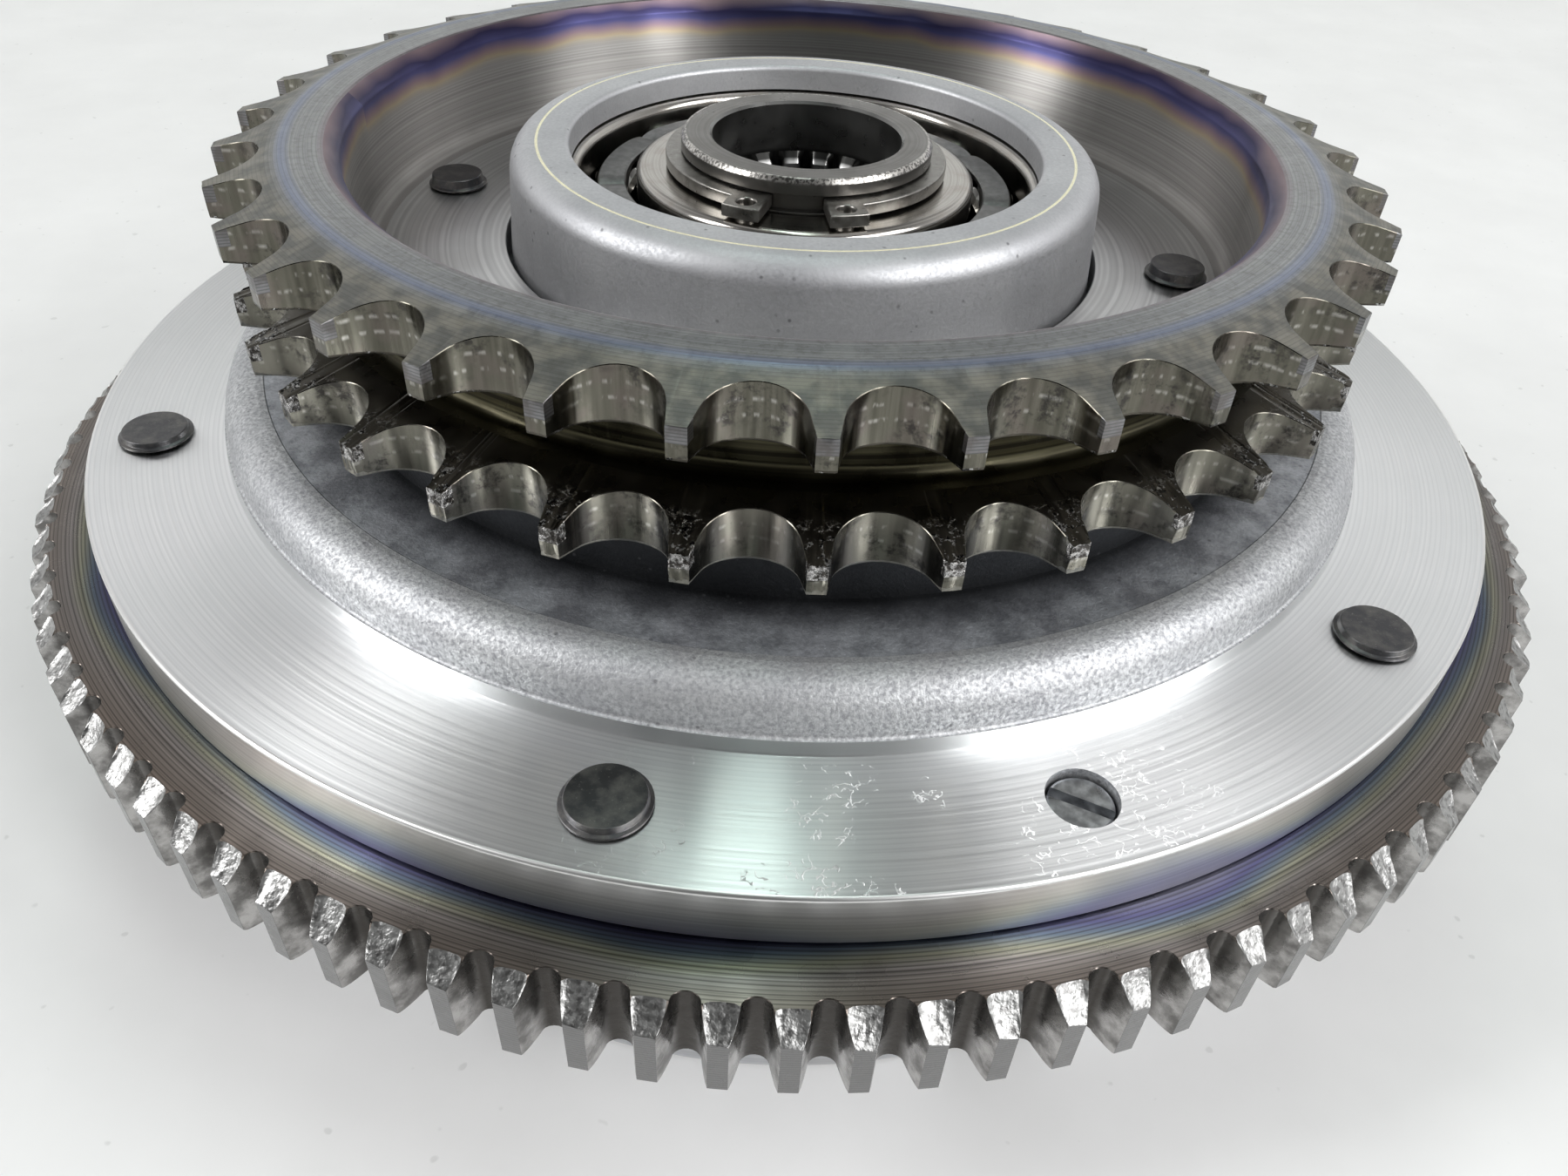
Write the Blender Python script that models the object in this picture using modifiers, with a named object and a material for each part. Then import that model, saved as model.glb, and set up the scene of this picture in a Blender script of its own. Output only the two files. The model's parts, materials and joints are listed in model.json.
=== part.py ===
"""A motorcycle wet clutch: the shell with its chain sprocket and starter ring gear, the bearing and splined
hub it turns on, and the plate pack, pressure plate and release parts inside it.

Sizes are in millimetres, turned into metres when a mesh is made. Heights are measured from the machined top
face of the shell's flange, so the chain side is positive and the plate side negative. The object stands on
the open rim of the shell, with its axis on Z.
"""

import math

import bmesh
import bpy
from mathutils import Matrix, Vector

MM = 0.001
CLEARANCE = 0.3
THROUGH = 20.0  # the length of a drill that goes right through a wall
RIM_DEPTH = 58.0  # the open rim lies this far below the flange face

# Chain sprocket: two rows for a duplex chain
SPROCKET_TEETH = 36
SPROCKET_TIP_RADIUS = 76.4
SPROCKET_ROOT_RADIUS = 69.9
TOOTH_GAP_RADIUS = 5.1  # of the round bottom of a gap
TOOTH_GAP_HALF_WIDTH = 5.65  # at the tips
TOOTH_FACE_RADIUS = 67.4  # a tooth's faces slope away from here to its tip
TOOTH_UNDERSIDE_RADIUS = 68.0
TOOTH_FACE_FALL = 2.1
TOOTH_UNDERSIDE_RISE = 1.5
CHAIN_GROOVE_RADIUS = 64.6
SPROCKET_PHASE = 2.5
SPROCKET_TOP = 36.6
SPROCKET_ROW_SPACING = 14.15
SPROCKET_ROW_WIDTH = 7.2
SPROCKET_BORE_RADIUS = 60.7
SPROCKET_BORE_CHAMFER = 1.8
SPROCKET_BORE_FILLET = 2.0
SPROCKET_SEAT_RADIUS = 64.0
SPROCKET_WEB_TOP = 20.9
SPROCKET_WEB_BOTTOM = 15.0

# Starter ring gear
RING_TEETH = 102
RING_PHASE = -169.47
RING_TIP_RADIUS = 108.5
RING_ROOT_RADIUS = 104.8
RING_BORE_RADIUS = 85.4
RING_TIP_HALF_ANGLE = 0.56
RING_ROOT_ANGLES = (1.18, 2.35)
RING_TOP = -7.2
RING_BOTTOM = -17.9

# Shell
FLANGE_RADIUS = 99.3
DOME_FOOT_RADIUS = 82.0
SHOULDER_CENTRE = (76.4, 3.0)  # the dome's rounded shoulder, in its section
SHOULDER_RADIUS = 4.8
PLATEAU_RADIUS = 75.6
PLATEAU_HEIGHT = 7.8
SEAT_RADIUS = 66.5
SEAT_HEIGHT = 14.7
WALL_RADIUS = 85.0
WALL_INNER_RADIUS = 79.0
CEILING_HEIGHT = 8.2
CEILING_EDGE = (61.0, CEILING_HEIGHT)  # the inside of the dome, in its section
CEILING_STEP = (66.0, 3.2)
CEILING_CORNER = (77.0, 2.4)
BOSS_RADIUS = 40.0
BOSS_FOOT_RADIUS = 41.4
BOSS_FLAT_RADIUS = 36.3
BOSS_TOP = 33.8
BOSS_LIP_RADIUS = 32.2
RING_GROOVE_RADIUS = 38.2
RING_GROOVE_HEIGHTS = (10.9, 12.7)
WALL_SLOTS = 8
SLOT_WIDTH = 14.0
SLOT_TOP = -8.0

# Rivets and the balance screw
RIVETS = 6
RIVET_SHANK_RADIUS = 2.9
FLANGE_RIVET_CIRCLE = 90.9
FLANGE_RIVET_PHASE = -160.0
SPROCKET_RIVET_CIRCLE = 52.6
SPROCKET_RIVET_PHASE = -10.0
FLANGE_RIVET_HEAD = (4.7, 1.3)  # radius and height
FLANGE_RIVET_TAIL = 1.6
SPROCKET_RIVET_HEAD = (4.2, 1.8)
SPROCKET_RIVET_TAIL = 1.3
BALANCE_SCREW_RADIUS = 3.5
BALANCE_SCREW_ANGLE = -70.0
BALANCE_SCREW_TOP = -0.9
BALANCE_SCREW_CHAMFER = 0.4
BALANCE_SLOT_SIZE = (10.0, 1.2, 2.6)
BALANCE_SLOT_ANGLE = -24.0

# Ball bearing, 35 x 72 x 17
BEARING_BORE_RADIUS = 17.5
BEARING_OUTER_RADIUS = 36.0
BEARING_TOP = 30.0
BEARING_WIDTH = 17.0
BALLS = 9
BALL_RADIUS = 5.55
BALL_CIRCLE = 26.9
INNER_LAND_RADIUS = 23.4
OUTER_LAND_RADIUS = 31.0
RACE_CHAMFER = 0.9
CAGE_RADII = (25.2, 27.9)
CAGE_HEIGHT = 13.8
POCKET_SIDES = 8
BEARING_RING_RADII = (33.0, 37.9)
BEARING_RING_HEIGHTS = (11.1, 12.5)
BEARING_RING_GAP = 24.0  # in degrees, as for every retaining ring

# Hub
HUB_RADIUS = 17.2
HUB_TOP = 34.5
HUB_BORE_RADIUS = 13.0
HUB_SPLINE_RADIUS = 11.6
HUB_SPLINES = 18
HUB_SPLINE_TOP = 27.4
HUB_BOTTOM = -12.0
CIRCLIP_GROOVE_RADIUS = 16.2
CIRCLIP_GROOVE_HEIGHTS = (30.2, 32.4)
SLEEVE_SHOULDER_RADIUS = 21.5
SLEEVE_FOOT_RADIUS = 20.2
DISC_TOP = 4.5
DISC_BOTTOM = -0.5
DISC_EDGE_RADIUS = 54.0
DRUM_RADIUS = 56.0
DRUM_INNER_RADIUS = 50.5
DRUM_BOTTOM = -51.5
DRUM_SLOTS = 8
DRUM_SLOT_WIDTH = 9.0
DRUM_SLOT_ROOT = 53.2
SPRING_GROOVE_RADIUS = 52.1
SPRING_GROOVE_HEIGHTS = (-50.3, -48.3)
REACTION_RADIUS = 77.0
REACTION_TOP = -3.5
REACTION_FACE = -8.5

# Plate pack
FRICTION_PLATES = 7
FRICTION_THICKNESS = 2.5
FRICTION_RADII = (58.5, 78.4)
STEEL_PLATES = 6
STEEL_THICKNESS = 1.6
STEEL_RADII = (57.0, 76.6)

# Pressure plate, spring and release parts
PRESSURE_THICKNESS = 4.6
RELEASE_HOLE_RADIUS = 22.0
SCREW_RADIUS = 4.0
RELEASE_LIP = 2.6
RELEASE_LIP_THICKNESS = 2.5
RELEASE_DEPTH = 3.4
RELEASE_RING_GROOVE = (1.6, 2.1)
RELEASE_RING_REACH = (1.3, 2.4)
RELEASE_RING_THICKNESS = 1.5
RELEASE_RING_GAP = 20.0
DIAPHRAGM_RADII = (29.0, 48.6)
DIAPHRAGM_THICKNESS = 1.8
DIAPHRAGM_FALL = 1.4
DIAPHRAGM_SLOTS = 12
DIAPHRAGM_SLOT_SIZE = (16.0, 2.4, 10.0)
DIAPHRAGM_SLOT_MIDDLE = 33.0
SPRING_RING_RADII = (46.5, 51.8)
SPRING_RING_HEIGHTS = (-50.1, -48.5)
SPRING_RING_GAP = 14.0
SCREW_ABOVE_PLATE = 8.0
SCREW_BELOW_NUT = 2.1
SCREW_CHAMFER = 1.0
NUT_ACROSS_FLATS = 13.0
NUT_THICKNESS = 4.5

# Circlip on the hub
CIRCLIP_ANGLE = -92.6
CIRCLIP_LUG_SPREAD = 18.0
CIRCLIP_HEIGHTS = (30.4, 32.1)
CIRCLIP_RADII = (16.6, 19.3)
CIRCLIP_LUG_RADIUS = 22.6
CIRCLIP_LUG_HALF_ANGLE = 6.5
CIRCLIP_EYE_CIRCLE = 20.5
CIRCLIP_EYE_RADIUS = 1.25

SHELL_STEPS = 48
RING_STEPS = 36
SMALL_RING_STEPS = 24
RIVET_STEPS = 8

ROW_GAP = SPROCKET_ROW_SPACING - SPROCKET_ROW_WIDTH
PACK_HEIGHT = (
    FRICTION_PLATES * FRICTION_THICKNESS
    + STEEL_PLATES * STEEL_THICKNESS
    + (FRICTION_PLATES + STEEL_PLATES + 1) * CLEARANCE
)
PRESSURE_TOP = REACTION_FACE - PACK_HEIGHT
PRESSURE_BOTTOM = PRESSURE_TOP - PRESSURE_THICKNESS

STEEL = ((0.42, 0.41, 0.39), 0.32, 1.0)
GROUND_STEEL = ((0.55, 0.53, 0.50), 0.22, 1.0)
DARK_STEEL = ((0.10, 0.09, 0.09), 0.38, 1.0)
ALUMINIUM = ((0.62, 0.63, 0.66), 0.42, 1.0)
FRICTION = ((0.12, 0.08, 0.05), 0.85, 0.0)


# ---- helpers ---------------------------------------------------------------------------------------------


def clear_scene():
    for obj in list(bpy.data.objects):
        bpy.data.objects.remove(obj, do_unlink=True)


def collection(name):
    made = bpy.data.collections.new(name)
    bpy.context.scene.collection.children.link(made)
    return made


def material(name, look):
    colour, roughness, metallic = look
    made = bpy.data.materials.new(name)
    made.use_nodes = True
    shader = made.node_tree.nodes["Principled BSDF"]
    shader.inputs["Base Color"].default_value = (*colour, 1.0)
    shader.inputs["Roughness"].default_value = roughness
    shader.inputs["Metallic"].default_value = metallic
    return made


def height(z):
    """A height above the flange face, as a world Z in metres."""
    return (z + RIM_DEPTH) * MM


def on_circle(radius, degrees, z=0.0):
    """A point in metres, at an angle from +X, with z as a height above the flange face."""
    angle = math.radians(degrees)
    return Vector((radius * MM * math.cos(angle), radius * MM * math.sin(angle), height(z)))


def angles(count, phase=0.0):
    return [phase + 360.0 * i / count for i in range(count)]


def add_object(name, mesh, group, look=None):
    obj = bpy.data.objects.new(name, mesh)
    group.objects.link(obj)
    if look:
        mesh.materials.append(material(name, look))
    return obj


def turned(name, profile, steps, group, look=None, closed=True):
    """A body turned about Z. Its profile runs down the outer side; an open one has both ends on the axis."""
    mesh = bpy.data.meshes.new(name)
    points = [(r * MM, 0.0, height(z)) for r, z in profile]
    edges = [(i, i + 1) for i in range(len(points) - 1)]
    if closed:
        edges.append((len(points) - 1, 0))
    mesh.from_pydata(points, edges, [])
    obj = add_object(name, mesh, group, look)
    screw = obj.modifiers.new("turn", "SCREW")
    screw.steps = steps
    screw.render_steps = steps
    screw.use_merge_vertices = True
    screw.merge_threshold = 0.00001
    return obj


def arc(radius, start, end, count):
    """Points on an arc about the axis, both ends included, in millimetres."""
    made = []
    for i in range(count):
        angle = math.radians(start + (end - start) * i / (count - 1))
        made.append((radius * math.cos(angle), radius * math.sin(angle)))
    return made


def circle(radius, count, phase=0.0):
    return arc(radius, phase, phase + 360.0 * (count - 1) / count, count)


def rotated(points, degrees):
    turn = Matrix.Rotation(math.radians(degrees), 2)
    return [tuple(turn @ Vector(point)) for point in points]


def flat(name, outlines, bottom, top, group, look=None):
    """A flat piece between two heights, its outlines filled even-odd, as a mesh."""
    curve = bpy.data.curves.new(name, "CURVE")
    curve.dimensions = "2D"
    curve.fill_mode = "BOTH"
    curve.extrude = (top - bottom) / 2 * MM
    for outline in outlines:
        spline = curve.splines.new("POLY")
        spline.points.add(len(outline) - 1)
        for point, (x, y) in zip(spline.points, outline):
            point.co = (x * MM, y * MM, 0.0, 1.0)
        spline.use_cyclic_u = True
    drawn = bpy.data.objects.new(name + "_outline", curve)
    bpy.context.scene.collection.objects.link(drawn)
    bpy.context.view_layer.update()
    graph = bpy.context.evaluated_depsgraph_get()
    mesh = bpy.data.meshes.new_from_object(drawn.evaluated_get(graph))
    bpy.data.objects.remove(drawn)
    work = bmesh.new()
    work.from_mesh(mesh)
    bmesh.ops.remove_doubles(work, verts=work.verts, dist=0.000001)
    bmesh.ops.translate(work, verts=work.verts, vec=(0.0, 0.0, height((top + bottom) / 2)))
    bmesh.ops.recalc_face_normals(work, faces=work.faces)
    work.to_mesh(mesh)
    work.free()
    mesh.materials.clear()
    return add_object(name, mesh, group, look)


def cut(target, cutter):
    cutter.hide_render = True
    cutter.display_type = "WIRE"
    boolean = target.modifiers.new(cutter.name, "BOOLEAN")
    boolean.operation = "DIFFERENCE"
    boolean.object = cutter


def boxes(name, places, size, group):
    """One cutter of several boxes: each place is (centre, degrees about Z), the size in millimetres."""
    work = bmesh.new()
    for centre, degrees in places:
        made = bmesh.ops.create_cube(work, size=1.0)["verts"]
        scale = Matrix.Diagonal((size[0] * MM, size[1] * MM, size[2] * MM, 1.0))
        turn = Matrix.Rotation(math.radians(degrees), 4, "Z")
        bmesh.ops.transform(work, verts=made, matrix=Matrix.Translation(centre) @ turn @ scale)
    mesh = bpy.data.meshes.new(name)
    work.to_mesh(mesh)
    work.free()
    return add_object(name, mesh, group)


def drills(name, radius, centres, depth, group):
    """One cutter of several upright cylinders, centred on the given points."""
    work = bmesh.new()
    for centre in centres:
        bmesh.ops.create_cone(
            work,
            cap_ends=True,
            segments=RIVET_STEPS,
            radius1=radius * MM,
            radius2=radius * MM,
            depth=depth * MM,
            matrix=Matrix.Translation(centre),
        )
    mesh = bpy.data.meshes.new(name)
    work.to_mesh(mesh)
    work.free()
    return add_object(name, mesh, group)


def bake(objects):
    """Applies every modifier, and shades round faces smooth and corners sharp."""
    bpy.context.view_layer.update()
    graph = bpy.context.evaluated_depsgraph_get()
    for obj in objects:
        mesh = bpy.data.meshes.new_from_object(obj.evaluated_get(graph))
        obj.modifiers.clear()
        obj.data = mesh
        mesh.shade_smooth()
        mesh.set_sharp_from_angle(angle=math.radians(28))


# ---- shell, sprocket and ring gear -----------------------------------------------------------------------


def shoulder(count):
    """The dome's rounded shoulder, from the plateau down to its steep side."""
    middle_radius, middle_height = SHOULDER_CENTRE
    return [
        (middle_radius + x, middle_height + z) for z, x in arc(SHOULDER_RADIUS, 0.0, 90.0, count)
    ]


def make_shell(parts, cutters):
    groove_bottom, groove_top = RING_GROOVE_HEIGHTS
    profile = [
        (BOSS_FLAT_RADIUS, BOSS_TOP),
        (BOSS_RADIUS - 1.1, BOSS_TOP - 0.9),
        (BOSS_RADIUS + 0.2, BOSS_TOP - 3.4),
        (BOSS_FOOT_RADIUS, SEAT_HEIGHT),
        (SEAT_RADIUS, SEAT_HEIGHT),
        (SEAT_RADIUS + 0.4, PLATEAU_HEIGHT),
        (PLATEAU_RADIUS, PLATEAU_HEIGHT),
        *shoulder(4),
        (DOME_FOOT_RADIUS, 0.0),
        (FLANGE_RADIUS - 0.5, 0.0),
        (FLANGE_RADIUS, -0.5),
        (FLANGE_RADIUS, RING_TOP + CLEARANCE),
        (WALL_RADIUS, RING_TOP + CLEARANCE),
        (WALL_RADIUS, -RIM_DEPTH),
        (WALL_INNER_RADIUS, -RIM_DEPTH),
        (WALL_INNER_RADIUS, 0.0),
        CEILING_CORNER,
        CEILING_STEP,
        CEILING_EDGE,
        (BOSS_FLAT_RADIUS, CEILING_HEIGHT),
        (BOSS_FLAT_RADIUS, groove_bottom),
        (RING_GROOVE_RADIUS, groove_bottom),
        (RING_GROOVE_RADIUS, groove_top),
        (BOSS_FLAT_RADIUS, groove_top),
        (BOSS_FLAT_RADIUS, BEARING_TOP + CLEARANCE),
        (BOSS_LIP_RADIUS, BEARING_TOP + CLEARANCE),
        (BOSS_LIP_RADIUS, BOSS_TOP - 0.6),
        (BOSS_LIP_RADIUS + 0.6, BOSS_TOP),
    ]
    shell = turned("clutch_shell", profile, SHELL_STEPS, parts, ALUMINIUM)
    depth = SLOT_TOP + RIM_DEPTH + 10.0
    middle = (WALL_RADIUS + WALL_INNER_RADIUS) / 2
    slot_angles = angles(WALL_SLOTS, 180.0 / WALL_SLOTS)
    places = [(on_circle(middle, a, SLOT_TOP - depth / 2), a) for a in slot_angles]
    slot_size = (2 * (WALL_RADIUS - WALL_INNER_RADIUS), SLOT_WIDTH, depth)
    cut(shell, boxes("wall_slot_cutter", places, slot_size, cutters))
    hole = RIVET_SHANK_RADIUS + CLEARANCE
    centres = [on_circle(FLANGE_RIVET_CIRCLE, a, RING_TOP / 2) for a in angles(RIVETS, FLANGE_RIVET_PHASE)]
    seat_middle = (SEAT_HEIGHT + CEILING_HEIGHT) / 2
    rivet_angles = angles(RIVETS, SPROCKET_RIVET_PHASE)
    centres += [on_circle(SPROCKET_RIVET_CIRCLE, a, seat_middle) for a in rivet_angles]
    cut(shell, drills("shell_rivet_cutter", hole, centres, THROUGH, cutters))
    balance = [on_circle(FLANGE_RIVET_CIRCLE, BALANCE_SCREW_ANGLE, RING_TOP / 2)]
    cut(shell, drills("balance_hole_cutter", BALANCE_SCREW_RADIUS + CLEARANCE, balance, THROUGH, cutters))
    return shell


def tooth_gap():
    """The outline of one sprocket tooth gap at angle 0: a round bottom that opens to the tips."""
    centre = SPROCKET_ROOT_RADIUS + TOOTH_GAP_RADIUS
    mouth = Vector((SPROCKET_TIP_RADIUS, TOOTH_GAP_HALF_WIDTH))
    reach = mouth - Vector((centre, 0.0))
    tangent = math.acos(TOOTH_GAP_RADIUS / reach.length)
    start = math.degrees(reach.angle(Vector((1.0, 0.0))) + tangent)
    seat = []
    for x, y in arc(TOOTH_GAP_RADIUS, start, 360.0 - start, 4):
        seat.append((centre + x, y))
    beyond = mouth + (mouth - Vector(seat[0])).normalized() * 4.0
    return [(beyond.x, beyond.y), *seat, (beyond.x, -beyond.y)]


def sprocket_row(top):
    """The outer side of one row of teeth, from its top face down to its lower face."""
    return [
        (TOOTH_FACE_RADIUS, top),
        (SPROCKET_TIP_RADIUS, top - TOOTH_FACE_FALL),
        (SPROCKET_TIP_RADIUS, top - SPROCKET_ROW_WIDTH + TOOTH_UNDERSIDE_RISE),
        (TOOTH_UNDERSIDE_RADIUS, top - SPROCKET_ROW_WIDTH),
    ]


def make_sprocket(parts, cutters):
    lower = SPROCKET_TOP - SPROCKET_ROW_SPACING
    profile = [
        (SPROCKET_BORE_RADIUS + SPROCKET_BORE_CHAMFER, SPROCKET_TOP),
        *sprocket_row(SPROCKET_TOP),
        (CHAIN_GROOVE_RADIUS, lower + ROW_GAP),
        (CHAIN_GROOVE_RADIUS, lower),
        *sprocket_row(lower),
        (SPROCKET_SEAT_RADIUS, SPROCKET_WEB_BOTTOM),
        (BOSS_FOOT_RADIUS + CLEARANCE, SPROCKET_WEB_BOTTOM),
        (BOSS_FOOT_RADIUS + CLEARANCE, SPROCKET_WEB_TOP),
        (SPROCKET_BORE_RADIUS - SPROCKET_BORE_FILLET, SPROCKET_WEB_TOP),
        (SPROCKET_BORE_RADIUS, SPROCKET_WEB_TOP + SPROCKET_BORE_FILLET),
        (SPROCKET_BORE_RADIUS, SPROCKET_TOP - SPROCKET_BORE_CHAMFER),
    ]
    sprocket = turned("chain_sprocket", profile, SPROCKET_TEETH, parts, STEEL)
    sprocket.rotation_euler.z = math.radians(SPROCKET_PHASE)
    gap = tooth_gap()
    gaps = [rotated(gap, a) for a in angles(SPROCKET_TEETH, SPROCKET_PHASE + 180.0 / SPROCKET_TEETH)]
    cut(sprocket, flat("tooth_gap_cutter", gaps, SPROCKET_WEB_BOTTOM - 2.0, SPROCKET_TOP + 2.0, cutters))
    web_middle = (SPROCKET_WEB_BOTTOM + SPROCKET_WEB_TOP) / 2
    centres = [on_circle(SPROCKET_RIVET_CIRCLE, a, web_middle) for a in angles(RIVETS, SPROCKET_RIVET_PHASE)]
    hole = RIVET_SHANK_RADIUS + CLEARANCE
    cut(sprocket, drills("sprocket_rivet_cutter", hole, centres, THROUGH, cutters))
    return sprocket


def make_ring_gear(parts, cutters):
    outline = []
    root_start, root_end = RING_ROOT_ANGLES
    for a in angles(RING_TEETH, RING_PHASE):
        outline += arc(RING_TIP_RADIUS, a - RING_TIP_HALF_ANGLE, a + RING_TIP_HALF_ANGLE, 2)
        outline += arc(RING_ROOT_RADIUS, a + root_start, a + root_end, 2)
    bore = circle(RING_BORE_RADIUS, SHELL_STEPS)
    ring = flat("starter_ring_gear", [outline, bore], RING_BOTTOM, RING_TOP, parts, STEEL)
    centres = [on_circle(FLANGE_RIVET_CIRCLE, a, RING_TOP) for a in angles(RIVETS, FLANGE_RIVET_PHASE)]
    cut(ring, drills("ring_rivet_cutter", RIVET_SHANK_RADIUS + CLEARANCE, centres, 2 * THROUGH, cutters))
    return ring


def rivet_profile(head_size, grip_top, grip_bottom, tail_height):
    """A rivet standing on the axis: flat head, shank and formed tail."""
    shank = RIVET_SHANK_RADIUS
    head, head_height = head_size
    head_top = grip_top + head_height
    return [
        (0.0, head_top),
        (head - 0.7, head_top),
        (head, grip_top + CLEARANCE),
        (shank, grip_top + CLEARANCE),
        (shank, grip_bottom - CLEARANCE),
        (head - 0.5, grip_bottom - CLEARANCE),
        (head - 1.0, grip_bottom - CLEARANCE - tail_height),
        (0.0, grip_bottom - CLEARANCE - tail_height),
    ]


def make_rivets(parts):
    flange = rivet_profile(FLANGE_RIVET_HEAD, 0.0, RING_BOTTOM, FLANGE_RIVET_TAIL)
    web = rivet_profile(SPROCKET_RIVET_HEAD, SPROCKET_WEB_TOP, CEILING_HEIGHT, SPROCKET_RIVET_TAIL)
    rows = (
        ("flange_rivet", flange, FLANGE_RIVET_CIRCLE, FLANGE_RIVET_PHASE),
        ("sprocket_rivet", web, SPROCKET_RIVET_CIRCLE, SPROCKET_RIVET_PHASE),
    )
    for name, profile, radius, phase in rows:
        for i, a in enumerate(angles(RIVETS, phase), 1):
            rivet = turned(f"{name}_{i}", profile, RIVET_STEPS, parts, DARK_STEEL, closed=False)
            place = on_circle(radius, a)
            rivet.location = (place.x, place.y, 0.0)


def make_balance_screw(parts, cutters):
    radius, top, chamfer = BALANCE_SCREW_RADIUS, BALANCE_SCREW_TOP, BALANCE_SCREW_CHAMFER
    profile = [
        (0.0, top),
        (radius - chamfer, top),
        (radius, top - chamfer),
        (radius, RING_TOP + 0.8),
        (0.0, RING_TOP + 0.8),
    ]
    screw = turned("balance_screw", profile, 16, parts, ALUMINIUM, closed=False)
    place = on_circle(FLANGE_RIVET_CIRCLE, BALANCE_SCREW_ANGLE)
    screw.location = (place.x, place.y, 0.0)
    centre = on_circle(FLANGE_RIVET_CIRCLE, BALANCE_SCREW_ANGLE, top)
    places = [(centre, BALANCE_SLOT_ANGLE)]
    cut(screw, boxes("screw_slot_cutter", places, BALANCE_SLOT_SIZE, cutters))


# ---- bearing ---------------------------------------------------------------------------------------------


def groove(centre_radius, wall_radius, middle, side):
    """Points down a race's ball groove: side is +1 where it faces outward, -1 where it faces inward."""
    reach = BALL_RADIUS + 3 * CLEARANCE
    half = math.acos(abs(wall_radius - centre_radius) / reach)
    made = []
    for i in range(3):
        angle = half - half * i
        made.append((centre_radius - side * reach * math.cos(angle), middle + reach * math.sin(angle)))
    return made


def make_ball(name, parts):
    work = bmesh.new()
    bmesh.ops.create_icosphere(work, subdivisions=2, radius=BALL_RADIUS * MM)
    mesh = bpy.data.meshes.new(name)
    work.to_mesh(mesh)
    work.free()
    return add_object(name, mesh, parts, GROUND_STEEL)


def make_bearing(parts, cutters, axis):
    middle = BEARING_TOP - BEARING_WIDTH / 2
    bottom = BEARING_TOP - BEARING_WIDTH
    inner = [
        (INNER_LAND_RADIUS - RACE_CHAMFER, BEARING_TOP),
        (INNER_LAND_RADIUS, BEARING_TOP - RACE_CHAMFER),
        *groove(BALL_CIRCLE, INNER_LAND_RADIUS, middle, 1),
        (INNER_LAND_RADIUS, bottom + RACE_CHAMFER),
        (INNER_LAND_RADIUS - RACE_CHAMFER, bottom),
        (BEARING_BORE_RADIUS, bottom),
        (BEARING_BORE_RADIUS, BEARING_TOP),
    ]
    outer = [
        (BEARING_OUTER_RADIUS, BEARING_TOP),
        (BEARING_OUTER_RADIUS, bottom),
        (OUTER_LAND_RADIUS + RACE_CHAMFER, bottom),
        (OUTER_LAND_RADIUS, bottom + RACE_CHAMFER),
        *reversed(groove(BALL_CIRCLE, OUTER_LAND_RADIUS, middle, -1)),
        (OUTER_LAND_RADIUS, BEARING_TOP - RACE_CHAMFER),
        (OUTER_LAND_RADIUS + RACE_CHAMFER, BEARING_TOP),
    ]
    inner_race = turned("bearing_inner_race", inner, RING_STEPS, parts, GROUND_STEEL)
    turned("bearing_outer_race", outer, RING_STEPS, parts, GROUND_STEEL)
    cage_bottom, cage_top = middle - CAGE_HEIGHT / 2, middle + CAGE_HEIGHT / 2
    narrow, wide = CAGE_RADII
    cage_profile = [(wide, cage_top), (wide, cage_bottom), (narrow, cage_bottom), (narrow, cage_top)]
    cage = turned("bearing_cage", cage_profile, BALLS * 4, parts, STEEL)
    cage.parent = axis
    pockets = bmesh.new()
    for i, a in enumerate(angles(BALLS, 90.0), 1):
        place = on_circle(BALL_CIRCLE, a, middle)
        lying = Matrix.Rotation(math.radians(a), 4, "Z") @ Matrix.Rotation(math.radians(90.0), 4, "Y")
        pocket_radius = (BALL_RADIUS + CLEARANCE) * MM / math.cos(math.pi / POCKET_SIDES)
        bmesh.ops.create_cone(
            pockets,
            cap_ends=True,
            segments=POCKET_SIDES,
            radius1=pocket_radius,
            radius2=pocket_radius,
            depth=8.0 * MM,
            matrix=Matrix.Translation(place) @ lying,
        )
        ball = make_ball(f"bearing_ball_{i}", parts)
        ball.location = place
        ball.parent = axis
    mesh = bpy.data.meshes.new("ball_pocket_cutter")
    pockets.to_mesh(mesh)
    pockets.free()
    cut(cage, add_object("ball_pocket_cutter", mesh, cutters))
    return inner_race


def split_ring(name, radii, heights, gap, steps, group, look, phase=0.0):
    """A flat retaining ring with a gap of the given degrees."""
    bottom, top = heights
    outer = arc(radii[1], phase + gap / 2, phase + 360.0 - gap / 2, steps)
    inner = arc(radii[0], phase + 360.0 - gap / 2, phase + gap / 2, steps)
    return flat(name, [outer + inner], bottom, top, group, look)


def make_bearing_ring(parts):
    """The internal ring under the bearing's outer race."""
    radii, heights = BEARING_RING_RADII, BEARING_RING_HEIGHTS
    return split_ring("bearing_snap_ring", radii, heights, BEARING_RING_GAP, 30, parts, STEEL, 90.0)


def make_spring_ring(parts):
    """The ring in the drum that the diaphragm spring pushes against."""
    radii, heights = SPRING_RING_RADII, SPRING_RING_HEIGHTS
    return split_ring("spring_snap_ring", radii, heights, SPRING_RING_GAP, 36, parts, DARK_STEEL)


# ---- hub and plates --------------------------------------------------------------------------------------


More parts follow.
